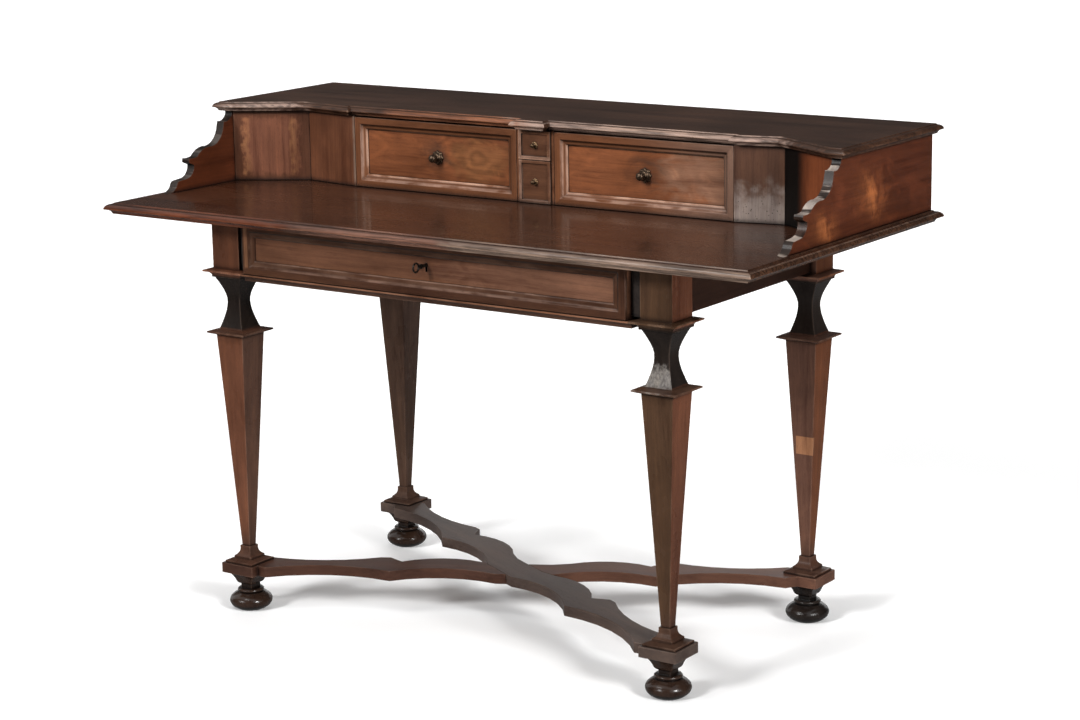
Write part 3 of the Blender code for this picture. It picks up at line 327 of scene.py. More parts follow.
def worn_edge(tree, distance):
    """Low near the outer edges of a piece, and one elsewhere."""
    return add(tree, "ShaderNodeAmbientOcclusion", {"Distance": distance}, inside=True, only_local=True,
               samples=6).outputs["AO"]


def new_material(name):
    material = bpy.data.materials.new(name)
    material.use_nodes = True
    material.node_tree.nodes.clear()
    return material, material.node_tree


def close(tree, shader):
    add(tree, "ShaderNodeOutputMaterial", {"Surface": shader})


# Wood

def wood_sockets(group):
    for kind, names in (("Vector", ("Grain",)), ("Color", ("Deep", "Tone", "Light")),
                        ("Float", ("Figure", "Wear", "Rough"))):
        for name in names:
            group.interface.new_socket(name, in_out="INPUT", socket_type="NodeSocket" + kind)
    for kind, name in (("Color", "Colour"), ("Float", "Roughness"), ("Vector", "Normal")):
        group.interface.new_socket(name, in_out="OUTPUT", socket_type="NodeSocket" + kind)


def wood_group():
    """Old polished wood: growth bands, streaks, pores, clouded patina, worn edges, and grime with painted
    shade in corners.
    """
    group = bpy.data.node_groups.new("old_wood", "ShaderNodeTree")
    wood_sockets(group)
    given = add(group, "NodeGroupInput").outputs

    sway = add(group, "ShaderNodeTexNoise", {"Vector": scaled(group, given["Grain"], SWAY),
                                             "Scale": 1.0, "Detail": 2.0}).outputs["Color"]
    grain = moved(group, given["Grain"], scaled(group, sway, (0.0, 0.045, 0.045)))
    bands = noise(group, grain, BANDS, 4.0, 0.55)
    streaks = noise(group, grain, STREAKS, 4.0, 0.62)
    fibres = noise(group, given["Grain"], FIBRES, 2.0)
    pores = spread(group, noise(group, grain, PORES, 1.0), 0.60, 0.70)
    clouds = noise(group, given["Grain"], CLOUDS, 4.0, 0.6)
    curls = noise(group, grain, CURLS, 3.0, 0.5, 1.6)

    tint = total(group, product(group, bands, 0.55), product(group, streaks, 0.33),
                 product(group, fibres, 0.12))
    colour = mixed(group, spread(group, tint, 0.33, 0.52), given["Deep"], given["Tone"])
    colour = mixed(group, spread(group, tint, 0.48, 0.68), colour, given["Light"])
    glow = product(group, spread(group, curls, 0.50, 0.72), given["Figure"])
    colour = mixed(group, glow, colour, shaded(group, given["Light"], 1.35))
    colour = shaded(group, colour, spread(group, clouds, 0.25, 0.75, 0.72, 1.28))
    colour = mixed(group, product(group, pores, 0.45), colour, shaded(group, given["Deep"], 0.55))

    patchy = spread(group, noise(group, given["Grain"], WEAR), 0.38, 0.62)
    rubbed = product(group, spread(group, worn_edge(group, EDGE_WEAR), 0.80, 0.40), patchy, given["Wear"])
    colour = mixed(group, rubbed, colour, mixed(group, 0.35, shaded(group, given["Light"], 1.9), RUBBED))
    # Grime and painted shade in corners and between parts, where the wood is also rougher
    corners = add(group, "ShaderNodeAmbientOcclusion", {"Distance": CORNER_GRIME_AND_SHADE}, samples=8).outputs["AO"]
    grime_and_shade = spread(group, corners, 0.93, 0.50)
    colour = mixed(group, product(group, grime_and_shade, 0.94), colour, shaded(group, given["Deep"], 0.14))

    rough = total(group, given["Rough"], spread(group, clouds, 0.2, 0.8, -0.05, 0.08),
                  product(group, pores, 0.10), product(group, grime_and_shade, 0.18))
    dents = noise(group, given["Grain"], DENTS, 2.0)
    height = total(group, product(group, dents, 0.5), product(group, streaks, 0.05))
    height = less(group, height, product(group, pores, 0.12))
    height = total(group, height, product(group, fibres, 0.05))
    bump = add(group, "ShaderNodeBump", {"Strength": 0.35, "Distance": 0.0006, "Height": height})
    add(group, "NodeGroupOutput", {"Colour": colour, "Roughness": rough, "Normal": bump.outputs["Normal"]})
    return group


WOOD = wood_group()


def grain_vector(tree, axis, seed, turn=0.0):
    """Point with its first part along the grain, shifted so that no two pieces share their figure."""
    point = here(tree)
    if turn:
        point = add(tree, "ShaderNodeMapping", {"Vector": point, "Rotation": (0, 0, -turn)}).outputs[0]
    parts = add(tree, "ShaderNodeSeparateXYZ", {0: point}).outputs
    order = {"X": (0, 1, 2), "Y": (1, 0, 2), "Z": (2, 1, 0)}[axis]
    turned = add(tree, "ShaderNodeCombineXYZ", {i: parts[j] for i, j in enumerate(order)}).outputs[0]
    return moved(tree, turned, (SHIFT_ALONG * seed, SHIFT_ACROSS * seed, SHIFT_THROUGH * seed))


def mitred_grain(tree, node, seed):
    """Grain of a mitred frame: along its rails, and up its stiles."""
    low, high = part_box(node)
    x, y, z = place(tree)
    across = maths(tree, "MINIMUM", less(tree, x, low.x), less(tree, high.x, x))
    down = maths(tree, "MINIMUM", less(tree, z, low.z), less(tree, high.z, z))
    stile = maths(tree, "LESS_THAN", across, down)
    along = add(tree, "ShaderNodeMix", {"Factor": stile, "A": x, "B": z}).outputs[0]
    other = add(tree, "ShaderNodeMix", {"Factor": stile, "A": z, "B": x}).outputs[0]
    turned = add(tree, "ShaderNodeCombineXYZ", {0: along, 1: y, 2: other}).outputs[0]
    return moved(tree, turned, (SHIFT_ALONG * seed, SHIFT_ACROSS, SHIFT_THROUGH * seed))


def shades(tone):
    """Deep, middle and light shade of a wood, from its middle tone."""
    return [tuple(part * share for part, share in zip(tone, shares)) + (1.0,)
            for shares in (DEEP_SHARES, (1.0, 1.0, 1.0), LIGHT_SHARES)]


def blended(tree, share, given, tone):
    """Given shades, with a share of the shades of another tone."""
    return [mixed(tree, share, old, new) for old, new in zip(given, shades(tone))]


def wood(name, tone, axis="X", seed=0, figure=0.15, wear=0.5, rough=0.34, coat=0.12, turn=0.0,
         specular=0.18, gloss=0.14, grain=None, spots=None):
    """Material of one piece of wood. spots may return changed shades from (tree, shades)."""
    material, tree = new_material(name)
    deep, middle, light = spots(tree, shades(tone)) if spots else shades(tone)
    vector = grain(tree) if grain else grain_vector(tree, axis, seed, turn)
    made = add(tree, "ShaderNodeGroup", {"Grain": vector, "Deep": deep, "Tone": middle, "Light": light,
                                         "Figure": figure, "Wear": wear, "Rough": rough},
               node_tree=WOOD).outputs
    shader = add(tree, "ShaderNodeBsdfPrincipled", {
        "Base Color": made["Colour"], "Roughness": made["Roughness"], "Normal": made["Normal"],
        "IOR": WOOD_IOR, "Specular IOR Level": specular, "Coat Weight": coat, "Coat Roughness": gloss,
        "Coat IOR": POLISH_IOR})
    close(tree, shader.outputs[0])
    return material


# Spots: worn, faded and figured places of a piece

def moulded_edge(bands):
    """Board whose moulded edge has a tone in each band of X (from, to, tone), a painted highlight in the pale
    bands, and painted shade elsewhere and where it faces the ends; streaked.
    """

    def spots(tree, given):
        point, out = here(tree), facing(tree)
        along = total(tree, place(tree)["X"], jagged(tree, noise(tree, point, (18.0, 60.0, 60.0)), 0.3, 0.03))
        level = spread(tree, out["Z"], 0.80, 0.97)
        front = spread(tree, maths(tree, "ABSOLUTE", out["X"]), 0.45, 0.70, 1.0, 0.0)
        edge = shades(SHADED_EDGE_TONE)
        for low, high, tone in bands:
            edge = blended(tree, product(tree, in_band(tree, along, low, high, BAND_BLUR), front), edge, tone)
        streaks = spread(tree, noise(tree, point, (11.0, 190.0, 190.0), 3.0, 0.6), 0.34, 0.60, 0.45, 1.20)
        return [mixed(tree, level, shaded(tree, tone, streaks), flat) for tone, flat in zip(edge, given)]

    return spots


def worked_moulding(tree, given, rubbed=0.75):
    """Moulding with a painted highlight, in patches of wear, where it faces up or right, and painted shade
    where it faces down or left.
    """
    out = facing(tree)
    patchy = spread(tree, noise(tree, here(tree), (22.0, 60.0, 22.0)), 0.35, 0.62)
    pale = spread(tree, maths(tree, "MAXIMUM", out["X"], out["Z"]), 0.25, 0.65, 0.0, rubbed)
    dark = spread(tree, maths(tree, "MINIMUM", out["X"], out["Z"]), -0.65, -0.25, 0.85, 0.0)
    given = blended(tree, product(tree, pale, patchy), given, MOULDING_WEAR_AND_HIGHLIGHT_TONE)
    return blended(tree, dark, given, PAINTED_SHADE_TONE)


def sheened_moulding(tree, given):
    """Worked moulding with a painted sheen, paler and greyer to the right."""
    sheen = spread(tree, place(tree)["X"], *SHEEN_FROM, 0.0, 0.75)
    return worked_moulding(tree, blended(tree, sheen, given, SHEEN_TONE))


def pale_stile(extent):
    """Worked moulding of a frame with a pale strip down its left stile."""
    left, foot = extent[0].x, extent[0].z

    def spots(tree, given):
        at = place(tree)
        strip = in_band(tree, at["X"], left + STILE_STRIP[0], left + STILE_STRIP[1], 0.0012)
        above = spread(tree, at["Z"], foot + STILE_STRIP_FOOT[0], foot + STILE_STRIP_FOOT[1], 0.0, 0.75)
        given = worked_moulding(tree, given, 0.36)
        return blended(tree, product(tree, strip, above), given, PALE_STILE_TONE)

    return spots


def border_wear_and_highlight(extent):
    """Small drawer front whose border is pale at its left and its foot, rubbed and with a painted highlight.
    """
    left, foot = extent[0].x, extent[0].z

    def spots(tree, given):
        at = place(tree)
        patchy = spread(tree, noise(tree, here(tree), (60.0,) * 3), 0.30, 0.62, 0.35, 1.0)
        sides = [spread(tree, at[axis], start + BORDER_WIDTH[0], start + BORDER_WIDTH[1], 0.72, 0.0)
                 for axis, start in (("X", left), ("Z", foot))]
        border = product(tree, maths(tree, "MAXIMUM", *sides), patchy)
        return blended(tree, border, worked_moulding(tree, given), BORDER_WEAR_AND_HIGHLIGHT_TONE)

    return spots


def corner_wear_and_highlight(corner):
    """Niche panel pale along its end at an X: rubbed, with a painted highlight."""

    def spots(tree, given):
        end = spread(tree, place(tree)["X"], corner - CORNER_WIDTH[0], corner - CORNER_WIDTH[1], 0.0, 0.8)
        patchy = spread(tree, noise(tree, here(tree), (40.0,) * 3), 0.34, 0.60, 0.3, 1.0)
        return blended(tree, product(tree, end, patchy), given, EDGE_HIGHLIGHT_TONE)

    return spots


def ringed_figure(tree, given, far, share):
    """Wood with faint rings. far is the square of the distance from their middle."""
    bend = jagged(tree, noise(tree, here(tree), (9.0, 9.0, 14.0), 2.0), 0.25, 0.35)
    swirl = total(tree, maths(tree, "SQRT", far), bend)
    wave = maths(tree, "SINE", product(tree, swirl, RING_ANGLE))
    lines = total(tree, product(tree, wave, spread(tree, far, 0.2, 3.5, share, 0.02)), 1.0)
    return [shaded(tree, tone, lines) for tone in given]


def handled_spot(tree, given, middle, curl):
    """Wood that hands have darkened round a knob (X, Z)."""
    at = place(tree)
    away, up = (less(tree, at[axis], centre) for axis, centre in zip("XZ", middle))
    far = total(tree, maths(tree, "SQRT", square_sum(tree, away, up)), product(tree, curl, 0.035))
    return blended(tree, spread(tree, far, 0.012, 0.046, 0.75, 0.0), given, HANDLED_TONE)


def figure_and_sheen_panel(middle, reach, bright, ringed=0.0, handled=None):
    """Drawer panel bright round a middle (X, Z), as figure on the left gallery drawer and as painted sheen on
    the right one and on the apron, with a share of rings, and dark round a knob.
    """

    def spots(tree, given):
        at = place(tree)
        curl = jagged(tree, noise(tree, here(tree), (16.0, 16.0, 30.0), 4.0, 0.6, 1.2), 0.25, 0.4)
        away, up = (maths(tree, "DIVIDE", less(tree, at[axis], centre), size)
                    for axis, centre, size in zip("XZ", middle, reach))
        far = square_sum(tree, away, up)
        given = blended(tree, spread(tree, total(tree, far, curl), 0.15, 1.15, 0.8, 0.0), given, bright)
        if ringed:
            given = ringed_figure(tree, given, far, ringed)
        if handled:
            given = handled_spot(tree, given, handled, curl)
        return given

    return spots


def neck_bloom_and_highlight(tree, given):
    """Leg with a pale grey bloom and painted highlight on the front of its neck."""
    point = here(tree)
    height = total(tree, place(tree)["Z"], jagged(tree, noise(tree, point, (90.0,) * 3, 4.0), 0.3, 0.006))
    mottle = spread(tree, noise(tree, point, (260.0, 260.0, 180.0)), 0.30, 0.62, 0.45, 0.95)
    front = spread(tree, facing(tree)["Y"], -0.6, -0.4, 0.9, 0.0)
    grey = product(tree, in_band(tree, height, *BLOOM_AND_HIGHLIGHT_HEIGHT, 0.006), mottle, front)
    return blended(tree, grey, given, BLOOM_AND_HIGHLIGHT_TONE)


def let_in_patch(tree, given, middle):
    """Leg with a pale patch let into its front, placed from the leg's middle (X, Y)."""
    at = place(tree)
    wide = in_band(tree, at["X"], middle[0] - PATCH_LEFT, middle[0] + PATCH_RIGHT, PATCH_BLUR)
    deep = spread(tree, at["Y"], middle[1] - PATCH_DEPTH[0], middle[1] - PATCH_DEPTH[1], 1.0, 0.0)
    patch = product(tree, in_band(tree, at["Z"], *PATCH_HEIGHT, PATCH_BLUR), wide, deep)
    return blended(tree, patch, given, PATCH_TONE)


def blackened_leg(sides, post_light, bloom_and_highlight=False, patch_at=None):
    """Leg with a tone for its sides and shares of both on its post as painted light and shade, a black neck,
    and a bloom with painted highlight or a patch.
    """

    def spots(tree, given):
        z = place(tree)["Z"]
        # Painted light and shade: a tone for the sides, and a brightness on the post
        turned = spread(tree, maths(tree, "ABSOLUTE", facing(tree)["X"]), 0.5, 0.7)
        lift = spread(tree, turned, 0.0, 1.0, *post_light)
        on_post = spread(tree, z, POST_FOOT - 0.002, POST_FOOT)
        given = [mixed(tree, on_post, tone, shaded(tree, tone, lift))
                 for tone in blended(tree, turned, given, sides)]
        given = blended(tree, in_band(tree, z, NECK_FOOT + 0.001, NECK_TOP + 0.004, 0.003), given, BLACKENED)
        dull = maths(tree, "MAXIMUM", in_band(tree, z, COLLAR_FOOT, NECK_FOOT, 0.004),
                     spread(tree, z, LEG_BASE - 0.01, LEG_BASE + 0.04, 1.0, 0.0))
        given = blended(tree, product(tree, dull, 0.75), given, COLLAR_TONE)
        if bloom_and_highlight:
            given = neck_bloom_and_highlight(tree, given)
        if patch_at:
            given = let_in_patch(tree, given, patch_at)
        return given

    return spots


def shade_under_lip(tree, given):
    """Front rail whose moulding has painted shade under its lip."""
    dark = spread(tree, place(tree)["Z"], RAIL_LIP - 0.0015, RAIL_LIP, 0.85, 0.0)
    return blended(tree, dark, given, COLLAR_TONE)


def lighter_arm(tree, given):
    """Stretcher board with a lighter arm at the right."""
    return blended(tree, spread(tree, place(tree)["X"], *LIGHT_ARM), given, BRIGHT_STRETCHER_TONE)


def worn_square(tree, given):
    """Niche panel rubbed pale in a square, and palest along the square's sides."""
    at = place(tree)
    mottle = noise(tree, here(tree), (70.0, 70.0, 45.0), 4.0, 0.65)
    x, z = (total(tree, at[axis], jagged(tree, mottle, 0.25, 0.006)) for axis in "XZ")
    high = in_band(tree, z, *SQUARE_HEIGHT, 0.006)
    field = product(tree, in_band(tree, x, *SQUARE_WIDTH, SQUARE_BLUR), high, 0.8)
    strips = maths(tree, "MAXIMUM", *(in_band(tree, x, *side, SQUARE_BLUR) for side in SQUARE_SIDES))
    strips = product(tree, strips, high, spread(tree, mottle, 0.20, 0.75, 0.10, 0.85))
    return blended(tree, strips, blended(tree, field, given, SQUARE_TONE), SQUARE_SIDE_TONE)


def shadowed_end(tree, given):
    """Niche panel black at its inner end."""
    return blended(tree, spread(tree, place(tree)["X"], *NICHE_SHADOW, 1.0, 0.0), given, NICHE_SHADOW_TONE)


def bleached_foot(tree, given):
    """Niche panel bleached and worm eaten towards its foot."""
    point = here(tree)
    height = total(tree, place(tree)["Z"], jagged(tree, noise(tree, point, (40.0,) * 3), 0.2, 0.02))
    bleach = spread(tree, height, *BLEACH_HEIGHT, 0.95, 0.0)
    cells = add(tree, "ShaderNodeTexVoronoi", {"Vector": point, "Scale": WORM_CELLS}).outputs["Distance"]
    holes = product(tree, spread(tree, cells, 0.16, 0.24, 1.0, 0.0),
                    spread(tree, noise(tree, point, (70.0,) * 3), 0.42, 0.55), bleach)
    return [mixed(tree, holes, tone, WORM_HOLE) for tone in blended(tree, bleach, given, BLEACHED_TONE)]


def shaded_scroll(tree, given, rubbed=0.12):
    """Side panel whose scrolled front edge is nearly black with painted shade, and pale in ragged patches
    where it faces up, rubbed and with a painted highlight.
    """
    out = facing(tree)
    edge = spread(tree, maths(tree, "ABSOLUTE", out["X"]), 0.25, 0.75, 1.0, 0.0)
    ragged = jagged(tree, noise(tree, here(tree), (10.0, 45.0, 45.0)), 0.3, 0.5)
    upward = spread(tree, total(tree, out["Z"], ragged), 0.70, 1.00, 0.0, rubbed)
    scroll = blended(tree, upward, shades(PAINTED_SHADE_TONE), SCROLL_WEAR_AND_HIGHLIGHT_TONE)
    return [mixed(tree, edge, tone, dark) for tone, dark in zip(given, scroll)]


def streaked_side(tree, given):
    """Side panel with a scroll in painted shade and painted highlight, and two bright flames in its figure.
    """
    at = place(tree)
    wisps = noise(tree, here(tree), (60.0, 60.0, 26.0), 5.0, 0.65, 0.8)
    lean = total(tree, product(tree, less(tree, at["Z"], FLAME_LEVEL), FLAME_SLOPE),
                 jagged(tree, wisps, 0.25, 0.020))
    streaks = []
    for middle, halo, core, heights, blur in FLAMES:
        across = maths(tree, "ABSOLUTE", less(tree, less(tree, at["Y"], middle), lean))
        bright = total(tree, spread(tree, across, 0.0, halo, 0.35, 0.0),
                       spread(tree, across, 0.0, core, 0.65, 0.0))
        streaks.append(product(tree, bright, in_band(tree, at["Z"], *heights, blur)))
    streak = product(tree, maths(tree, "MAXIMUM", *streaks), spread(tree, wisps, 0.28, 0.56))
    return blended(tree, streak, shaded_scroll(tree, given, 0.7), FLAME_TONE)


# Finish of each piece

def dress(names, material):
    for name in names:
        NODES[name].data.materials.clear()
        NODES[name].data.materials.append(material)


def finish_boards():
    dress(["writing_top"],
          wood("walnut_top", TOP_TONE, "X", 1, figure=0.10, wear=0.6, rough=0.24, coat=0.28, specular=0.16,
               gloss=0.07, spots=moulded_edge(TOP_BANDS)))
    dress(["gallery_board"],
          wood("walnut_board", BOARD_TONE, "X", 2, figure=0.10, wear=0.9, rough=0.42, coat=0.10,
               spots=moulded_edge(BOARD_BANDS)))


def finish_drawers():
    worked = {"left": worked_moulding, "right": sheened_moulding}
    for seed, (side, figure) in enumerate(PANEL_FIGURE_AND_SHEEN.items(), 3):
        name = f"gallery_drawer_{side}"
        low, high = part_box(name + "_knob")
        middle = (low + high) / 2
        dress([name + "_front"],
              wood(f"walnut_panel_{side}", PANEL_TONE, "X", seed, figure=0.50, wear=0.3,
                   spots=figure_and_sheen_panel(*figure, (middle.x, middle.z))))
        dress([name + "_moulding"],
              wood(f"walnut_frame_{side}", FRAME_TONE, wear=0.9, rough=0.30, spots=worked[side],
                   grain=lambda tree, node=name + "_moulding", seed=seed: mitred_grain(tree, node, seed)))
    dress(["apron_drawer_front"],
          wood("walnut_apron_panel", APRON_TONE, "X", 6, figure=0.12, wear=0.3, rough=0.32,
               spots=figure_and_sheen_panel(*APRON_SHEEN)))
    dress(["apron_drawer_moulding"],
          wood("walnut_apron_frame", APRON_FRAME_TONE, wear=0.3, rough=0.30,
               spots=pale_stile(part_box("apron_drawer_moulding")),
               grain=lambda tree: mitred_grain(tree, "apron_drawer_moulding", 7)))
    for level in ("upper", "lower"):
        name = level + "_small_drawer_front"
        dress([name],
              wood(f"walnut_{level}_small_drawer", SMALL_DRAWER_TONE, "X", 8, figure=0.2, wear=1.0,
                   rough=0.32, spots=border_wear_and_highlight(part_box(name))))


def finish_gallery():
    dress(["left_side_panel"],
          wood("walnut_side_left", SIDE_TONE, "Y", 9, figure=0.25, wear=0.15, rough=0.32, spots=shaded_scroll))
    dress(["right_side_panel"],
          wood("walnut_side_right", SIDE_TONE, "Y", 10, figure=0.45, wear=0.15, rough=0.32,
               spots=streaked_side))
    dress(["left_outer_canted_panel"],
          wood("walnut_niche_worn", WORN_NICHE_TONE, "Z", 11, wear=0.4, rough=0.38, spots=worn_square))
    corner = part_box("left_inner_canted_panel")[1].x
    dress(["left_inner_canted_panel"],
          wood("walnut_niche", NICHE_TONE, "Z", 12, figure=0.12, wear=0.4, rough=0.36,
               spots=corner_wear_and_highlight(corner)))
    dress(["right_inner_canted_panel"],
          wood("walnut_niche_bleached", BLEACHED_NICHE_TONE, "Z", 13, figure=0.12, wear=0.4, rough=0.40,
               spots=bleached_foot))
    dress(["right_outer_canted_panel"],
          wood("walnut_niche_right", RIGHT_NICHE_TONE, "Z", 14, figure=0.12, wear=0.4, rough=0.40, coat=0.0,
               specular=0.10, spots=shadowed_end))
    dress(["left_block_wall", "right_block_wall", "gallery_back"],
          wood("walnut_inner", INNER_TONE, "X", 15, figure=0.1, wear=0.3, rough=0.45, coat=0.0))
    dress(["left_column_divider", "right_column_divider", "small_drawer_shelf"],
          wood("walnut_divider", FRAME_TONE, "Y", 16, figure=0.1, wear=0.6, rough=0.36))


def finish_rails():
    dress(["front_rail"],
          wood("walnut_front_rail", APRON_TONE, "X", 17, figure=0.1, rough=0.30, spots=shade_under_lip))
    dress(["back_rail"],
          wood("walnut_back_rail", BACK_RAIL_TONE, "X", 18, figure=0.1, wear=0.4, rough=0.45, coat=0.0))
    dress(["left_rail", "right_rail"],
          wood("walnut_side_rail", SIDE_RAIL_TONE, "Y", 19, figure=0.1, wear=0.4, rough=0.42, coat=0.0))
    dress(["left_drawer_runner", "right_drawer_runner"],
          wood("walnut_runner", RUNNER_TONE, "Y", 20, figure=0.0, wear=0.2, rough=0.50, coat=0.0))


def finish_legs():
    for seed, (corner, (tone, sides, post_light)) in enumerate(LEGS.items(), 21):
        low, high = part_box(corner + "_leg")
        middle = (low + high) / 2
        patch = (middle.x, middle.y) if corner == "rear_right" else None
        dress([corner + "_leg"],
              wood("walnut_leg_" + corner, tone, "Z", seed, wear=0.6, rough=0.28, coat=0.05, specular=0.11,
                   spots=blackened_leg(sides, post_light, corner == "front_right", patch)))
        foot = BLACKENED if corner == "rear_right" else FOOT_TONE
        dress([corner + "_foot"],
              wood("walnut_foot_" + corner, foot, "Z", seed + len(LEGS), figure=0.0, wear=0.6, rough=0.20,
                   coat=0.3, specular=0.25, gloss=0.10))


def finish_stretcher():
    dress(["stretcher_rear_left_front_right"],
          wood("walnut_stretcher_upper", GREY_STRETCHER_TONE, "X", 30, figure=0.1, coat=0.1,
               turn=-STRETCHER_TURN))
    dress(["stretcher_front_left_rear_right"],
          wood("walnut_stretcher_lower", STRETCHER_TONE, "X", 31, figure=0.1, coat=0.1, turn=STRETCHER_TURN,
               spots=lighter_arm))


def finish_linings():
    linings = [name for name in NODES if name.startswith(("apron_drawer", "gallery_drawer"))
               and name.endswith(("_side", "_back", "_bottom"))]
    dress(linings + ["upper_small_drawer_tray", "lower_small_drawer_tray"],
          wood("poplar_lining", LINING_TONE, "X", 33, figure=0.05, wear=0.3, rough=0.58, coat=0.0))


def metal(name):
    """Old metal: brown skin, bright where it is handled, small pits."""
    tone, bright, rough = METALS[name]
    material, tree = new_material(name)
    cloud = noise(tree, here(tree), METAL_CLOUDS, 4.0, 0.6)
    pits = noise(tree, here(tree), METAL_PITS, 2.0)
    rubbed = product(tree, spread(tree, worn_edge(tree, METAL_WEAR), 0.75, 0.35), 0.8)
    handled = maths(tree, "MAXIMUM", rubbed, spread(tree, cloud, 0.52, 0.70, 0.0, 0.5))
    skin = mixed(tree, spread(tree, cloud, 0.3, 0.6), shaded(tree, tone, 0.5), (*tone, 1.0))
    bump = add(tree, "ShaderNodeBump", {"Strength": 0.35, "Distance": 0.0003, "Height": pits})
    shader = add(tree, "ShaderNodeBsdfPrincipled", {
        "Base Color": mixed(tree, handled, skin, (*bright, 1.0)), "Metallic": 0.85,
        "Roughness": spread(tree, cloud, 0.3, 0.7, rough, rough + 0.18), "Normal": bump.outputs["Normal"]})
    close(tree, shader.outputs[0])
    return material


# Softened edges

def soft_shading():
    """Node modifier that joins a mesh, and shades it smooth except at its sharper edges."""
    group = bpy.data.node_groups.new("soft_shading", "GeometryNodeTree")
    for side in ("INPUT", "OUTPUT"):
        group.interface.new_socket("Geometry", in_out=side, socket_type="NodeSocketGeometry")
    mesh = add(group, "NodeGroupInput").outputs[0]
    mesh = add(group, "GeometryNodeRemoveAttribute", {"Geometry": mesh, "Name": "custom_normal"}).outputs[0]
    mesh = add(group, "GeometryNodeMergeByDistance", {"Geometry": mesh, "Distance": JOIN_WIDTH}).outputs[0]
    mesh = add(group, "GeometryNodeSetShadeSmooth", {"Geometry": mesh, "Shade Smooth": True}).outputs[0]
    angle = add(group, "GeometryNodeInputMeshEdgeAngle").outputs["Unsigned Angle"]
    flat = add(group, "FunctionNodeCompare", {0: angle, 1: SMOOTH_ANGLE}, operation="LESS_THAN").outputs[0]
    mesh = add(group, "GeometryNodeSetShadeSmooth", {"Geometry": mesh, "Shade Smooth": flat},
               domain="EDGE").outputs[0]
    add(group, "NodeGroupOutput", {"Geometry": mesh})
    return group


def soften(names):
    """Join flat faces, round the sharper edges by a little, then weld what the rounding left too small."""
    shading = soft_shading()
    for name in names:
        item = NODES[name]
        item.modifiers.new("shading", "NODES").node_group = shading
        flat = item.modifiers.new("flat", "DECIMATE")
        flat.decimate_type = "DISSOLVE"
        flat.angle_limit = FLAT_ANGLE
        round_edge = item.modifiers.new("edges", "BEVEL")
        round_edge.width = SOFT_EDGE
        round_edge.segments = EDGE_STEPS
        round_edge.limit_method = "ANGLE"
        round_edge.angle_limit = SMOOTH_ANGLE
        round_edge.harden_normals = True
        item.modifiers.new("weld", "WELD").merge_threshold = WELD_WIDTH


# Knobs

def knob_mesh(name, unit):
    """Scalloped rosette and lobed head, turned about Y, at a share of the large knob's size."""
    bm = bmesh.new()
    rings = []
    for width, reach, scallop in KNOB_PROFILE:
        ring = []
        for step in range(KNOB_STEPS):
            angle = 2 * math.pi * step / KNOB_STEPS
            lobe = 1 - scallop * (0.5 - 0.5 * math.cos(KNOB_LOBES * angle))
            radius = width * lobe * unit * MILLIMETRE
            ring.append(bm.verts.new((radius * math.cos(angle), -reach * unit * MILLIMETRE,
                                      radius * math.sin(angle))))
        rings.append(ring)
    for near, far in zip(rings, rings[1:]):
        for step in range(KNOB_STEPS):
            after = (step + 1) % KNOB_STEPS
            bm.faces.new((near[step], near[after], far[after], far[step]))
    bm.faces.new(list(reversed(rings[0])))
    bm.faces.new(rings[-1])
    bmesh.ops.recalc_face_normals(bm, faces=bm.faces)
    mesh = bpy.data.meshes.new(name)
    bm.to_mesh(mesh)
    bm.free()
    mesh.shade_smooth()
    return mesh


def knob(name, node, body, material):
    """Bronze knob with a scalloped rosette and a lobed head, in the place of its plain CAD solid."""
    low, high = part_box(node)
    unit = (high.z - low.z) / 2 / KNOB_RADIUS
    mesh = knob_mesh(name, unit)
    item = bpy.data.objects.new(name, mesh)
    bpy.context.scene.collection.objects.link(item)
    item.location = ((low.x + high.x) / 2, low.y + KNOB_REACH * unit, (low.z + high.z) / 2)
    mesh.materials.append(material)
    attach(item, body)
    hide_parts(node)


# Floor, light and camera

def seen_directly(tree):
    """One for rays from the camera, from reflections and through glass, which see the white studio."""
    path = add(tree, "ShaderNodeLightPath").outputs
    mirrored = maths(tree, "MAXIMUM", path["Is Glossy Ray"], path["Is Transmission Ray"])
    return maths(tree, "MAXIMUM", path["Is Camera Ray"], mirrored)


def sheet(name, corners, material):
    """Flat piece with four corners."""
    mesh = bpy.data.meshes.new(name)
    mesh.from_pydata(corners, [], [(0, 1, 2, 3)])
    mesh.materials.append(material)
    item = bpy.data.objects.new(name, mesh)
    bpy.context.scene.collection.objects.link(item)
    return item


def make_floor():
    material, tree = new_material("studio_floor")
    matt = add(tree, "ShaderNodeBsdfDiffuse", {"Color": FLOOR_COLOUR}).outputs[0]
    away = add(tree, "ShaderNodeVectorMath", {0: here(tree), 1: SHADE_MIDDLE}, operation="DISTANCE")
    lift = spread(tree, away.outputs["Value"], *FLOOR_REACH, *FLOOR_LIFT)
    white = add(tree, "ShaderNodeEmission", {"Strength": product(tree, seen_directly(tree), lift)}).outputs[0]
    close(tree, add(tree, "ShaderNodeAddShader", {0: matt, 1: white}).outputs[0])
    half = FLOOR_SIZE / 2
    floor = sheet("floor", [(-half, -half, 0), (half, -half, 0), (half, half, 0), (-half, half, 0)], material)


def make_world():
    world = bpy.data.worlds.new("studio")
    bpy.context.scene.world = world
    world.use_nodes = True
    tree = world.node_tree
    tree.nodes.clear()
    lit = add(tree, "ShaderNodeBackground", {"Color": WHITE, "Strength": AMBIENT})
    white = add(tree, "ShaderNodeBackground", {"Color": WHITE, "Strength": 1.0})
    both = add(tree, "ShaderNodeMixShader", {0: seen_directly(tree), 1: lit.outputs[0], 2: white.outputs[0]})
    add(tree, "ShaderNodeOutputWorld", {"Surface": both.outputs[0]})


def aimed(item, spot, target):
    item.location = spot
    item.rotation_mode = "QUATERNION"
    item.rotation_quaternion = (Vector(target) - Vector(spot)).to_track_quat("-Z", "Y")
    bpy.context.scene.collection.objects.link(item)


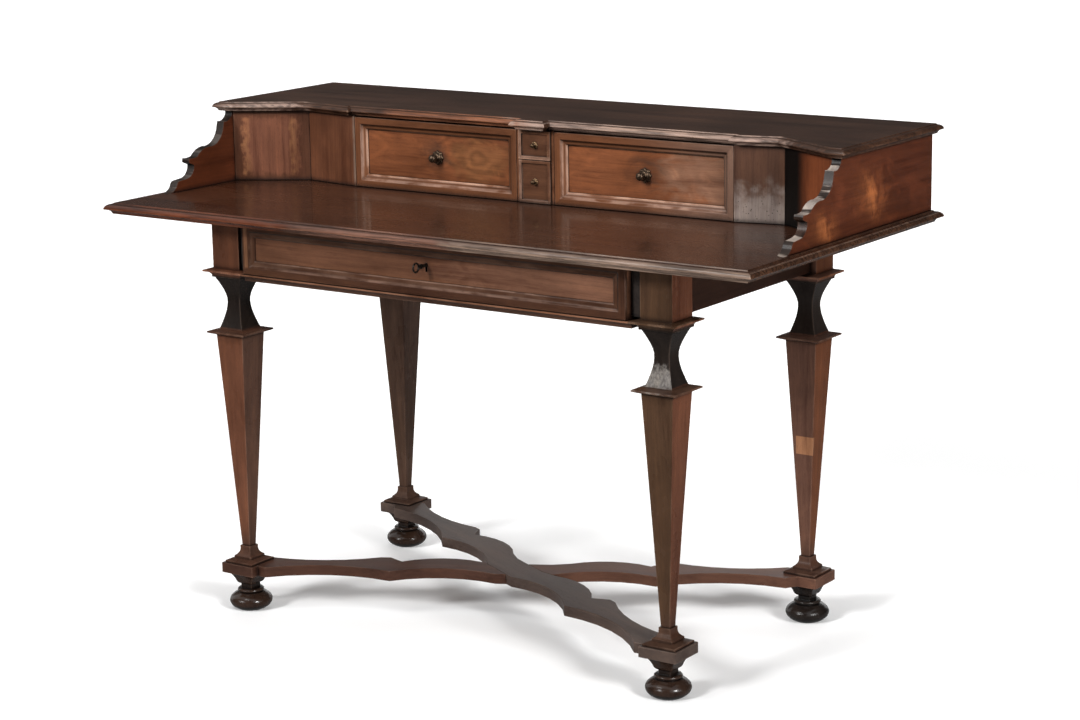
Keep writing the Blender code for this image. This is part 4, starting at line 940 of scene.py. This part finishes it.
def sun(name, spot, strength, angle):
    lamp = bpy.data.lights.new(name, "SUN")
    lamp.energy = strength
    lamp.angle = math.radians(angle)
    aimed(bpy.data.objects.new(name, lamp), spot, SUN_TARGET)


def softbox(name, spot, target, power, size):
    lamp = bpy.data.lights.new(name, "AREA")
    lamp.shape = "RECTANGLE"
    lamp.energy = power
    lamp.size, lamp.size_y = size
    aimed(bpy.data.objects.new(name, lamp), spot, target)


def flag(name, corners, shade):
    """Dark card that only reflections see."""
    material, tree = new_material(name)
    close(tree, add(tree, "ShaderNodeEmission", {"Color": (shade,) * 3 + (1.0,), "Strength": 1.0}).outputs[0])
    card = sheet(name, corners, material)
    card.visible_camera = card.visible_diffuse = card.visible_shadow = card.visible_transmission = False


def make_light():
    for name, settings in SUNS.items():
        sun(name, *settings)
    for name, settings in SOFTBOXES.items():
        softbox(name, *settings)
    for name, settings in FLAGS.items():
        flag(name, *settings)


def make_camera():
    forward = Vector((-math.sin(YAW) * math.cos(PITCH), math.cos(YAW) * math.cos(PITCH), math.sin(PITCH)))
    right = Vector((math.cos(YAW), math.sin(YAW), 0))
    up = right.cross(forward)
    rolled_right = math.cos(ROLL) * right + math.sin(ROLL) * up
    rolled_up = -math.sin(ROLL) * right + math.cos(ROLL) * up
    data = bpy.data.cameras.new("camera")
    data.lens = LENS
    data.sensor_width = SENSOR
    camera = bpy.data.objects.new("camera", data)
    bpy.context.scene.collection.objects.link(camera)
    camera.matrix_world = Matrix.Translation(EYE) @ Matrix(
        (rolled_right, rolled_up, -forward)).transposed().to_4x4()
    bpy.context.scene.camera = camera


finish_boards()
finish_drawers()
finish_gallery()
finish_rails()
finish_legs()
finish_stretcher()
finish_linings()
BRONZE, GOLDEN_BRONZE, IRON = (metal(name) for name in METALS)
dress(["lock_case", "lock_bolt", "lock_key"], IRON)
soften([name for name in NODES if not name.endswith("_knob")])
for drawer in ("gallery_drawer_left", "gallery_drawer_right", "upper_small_drawer", "lower_small_drawer"):
    knob(drawer + "_rosette_knob", drawer + "_knob", drawer, GOLDEN_BRONZE if "small" in drawer else BRONZE)
make_floor()
make_world()
make_light()
make_camera()
bpy.context.scene.view_settings.view_transform = "Standard"
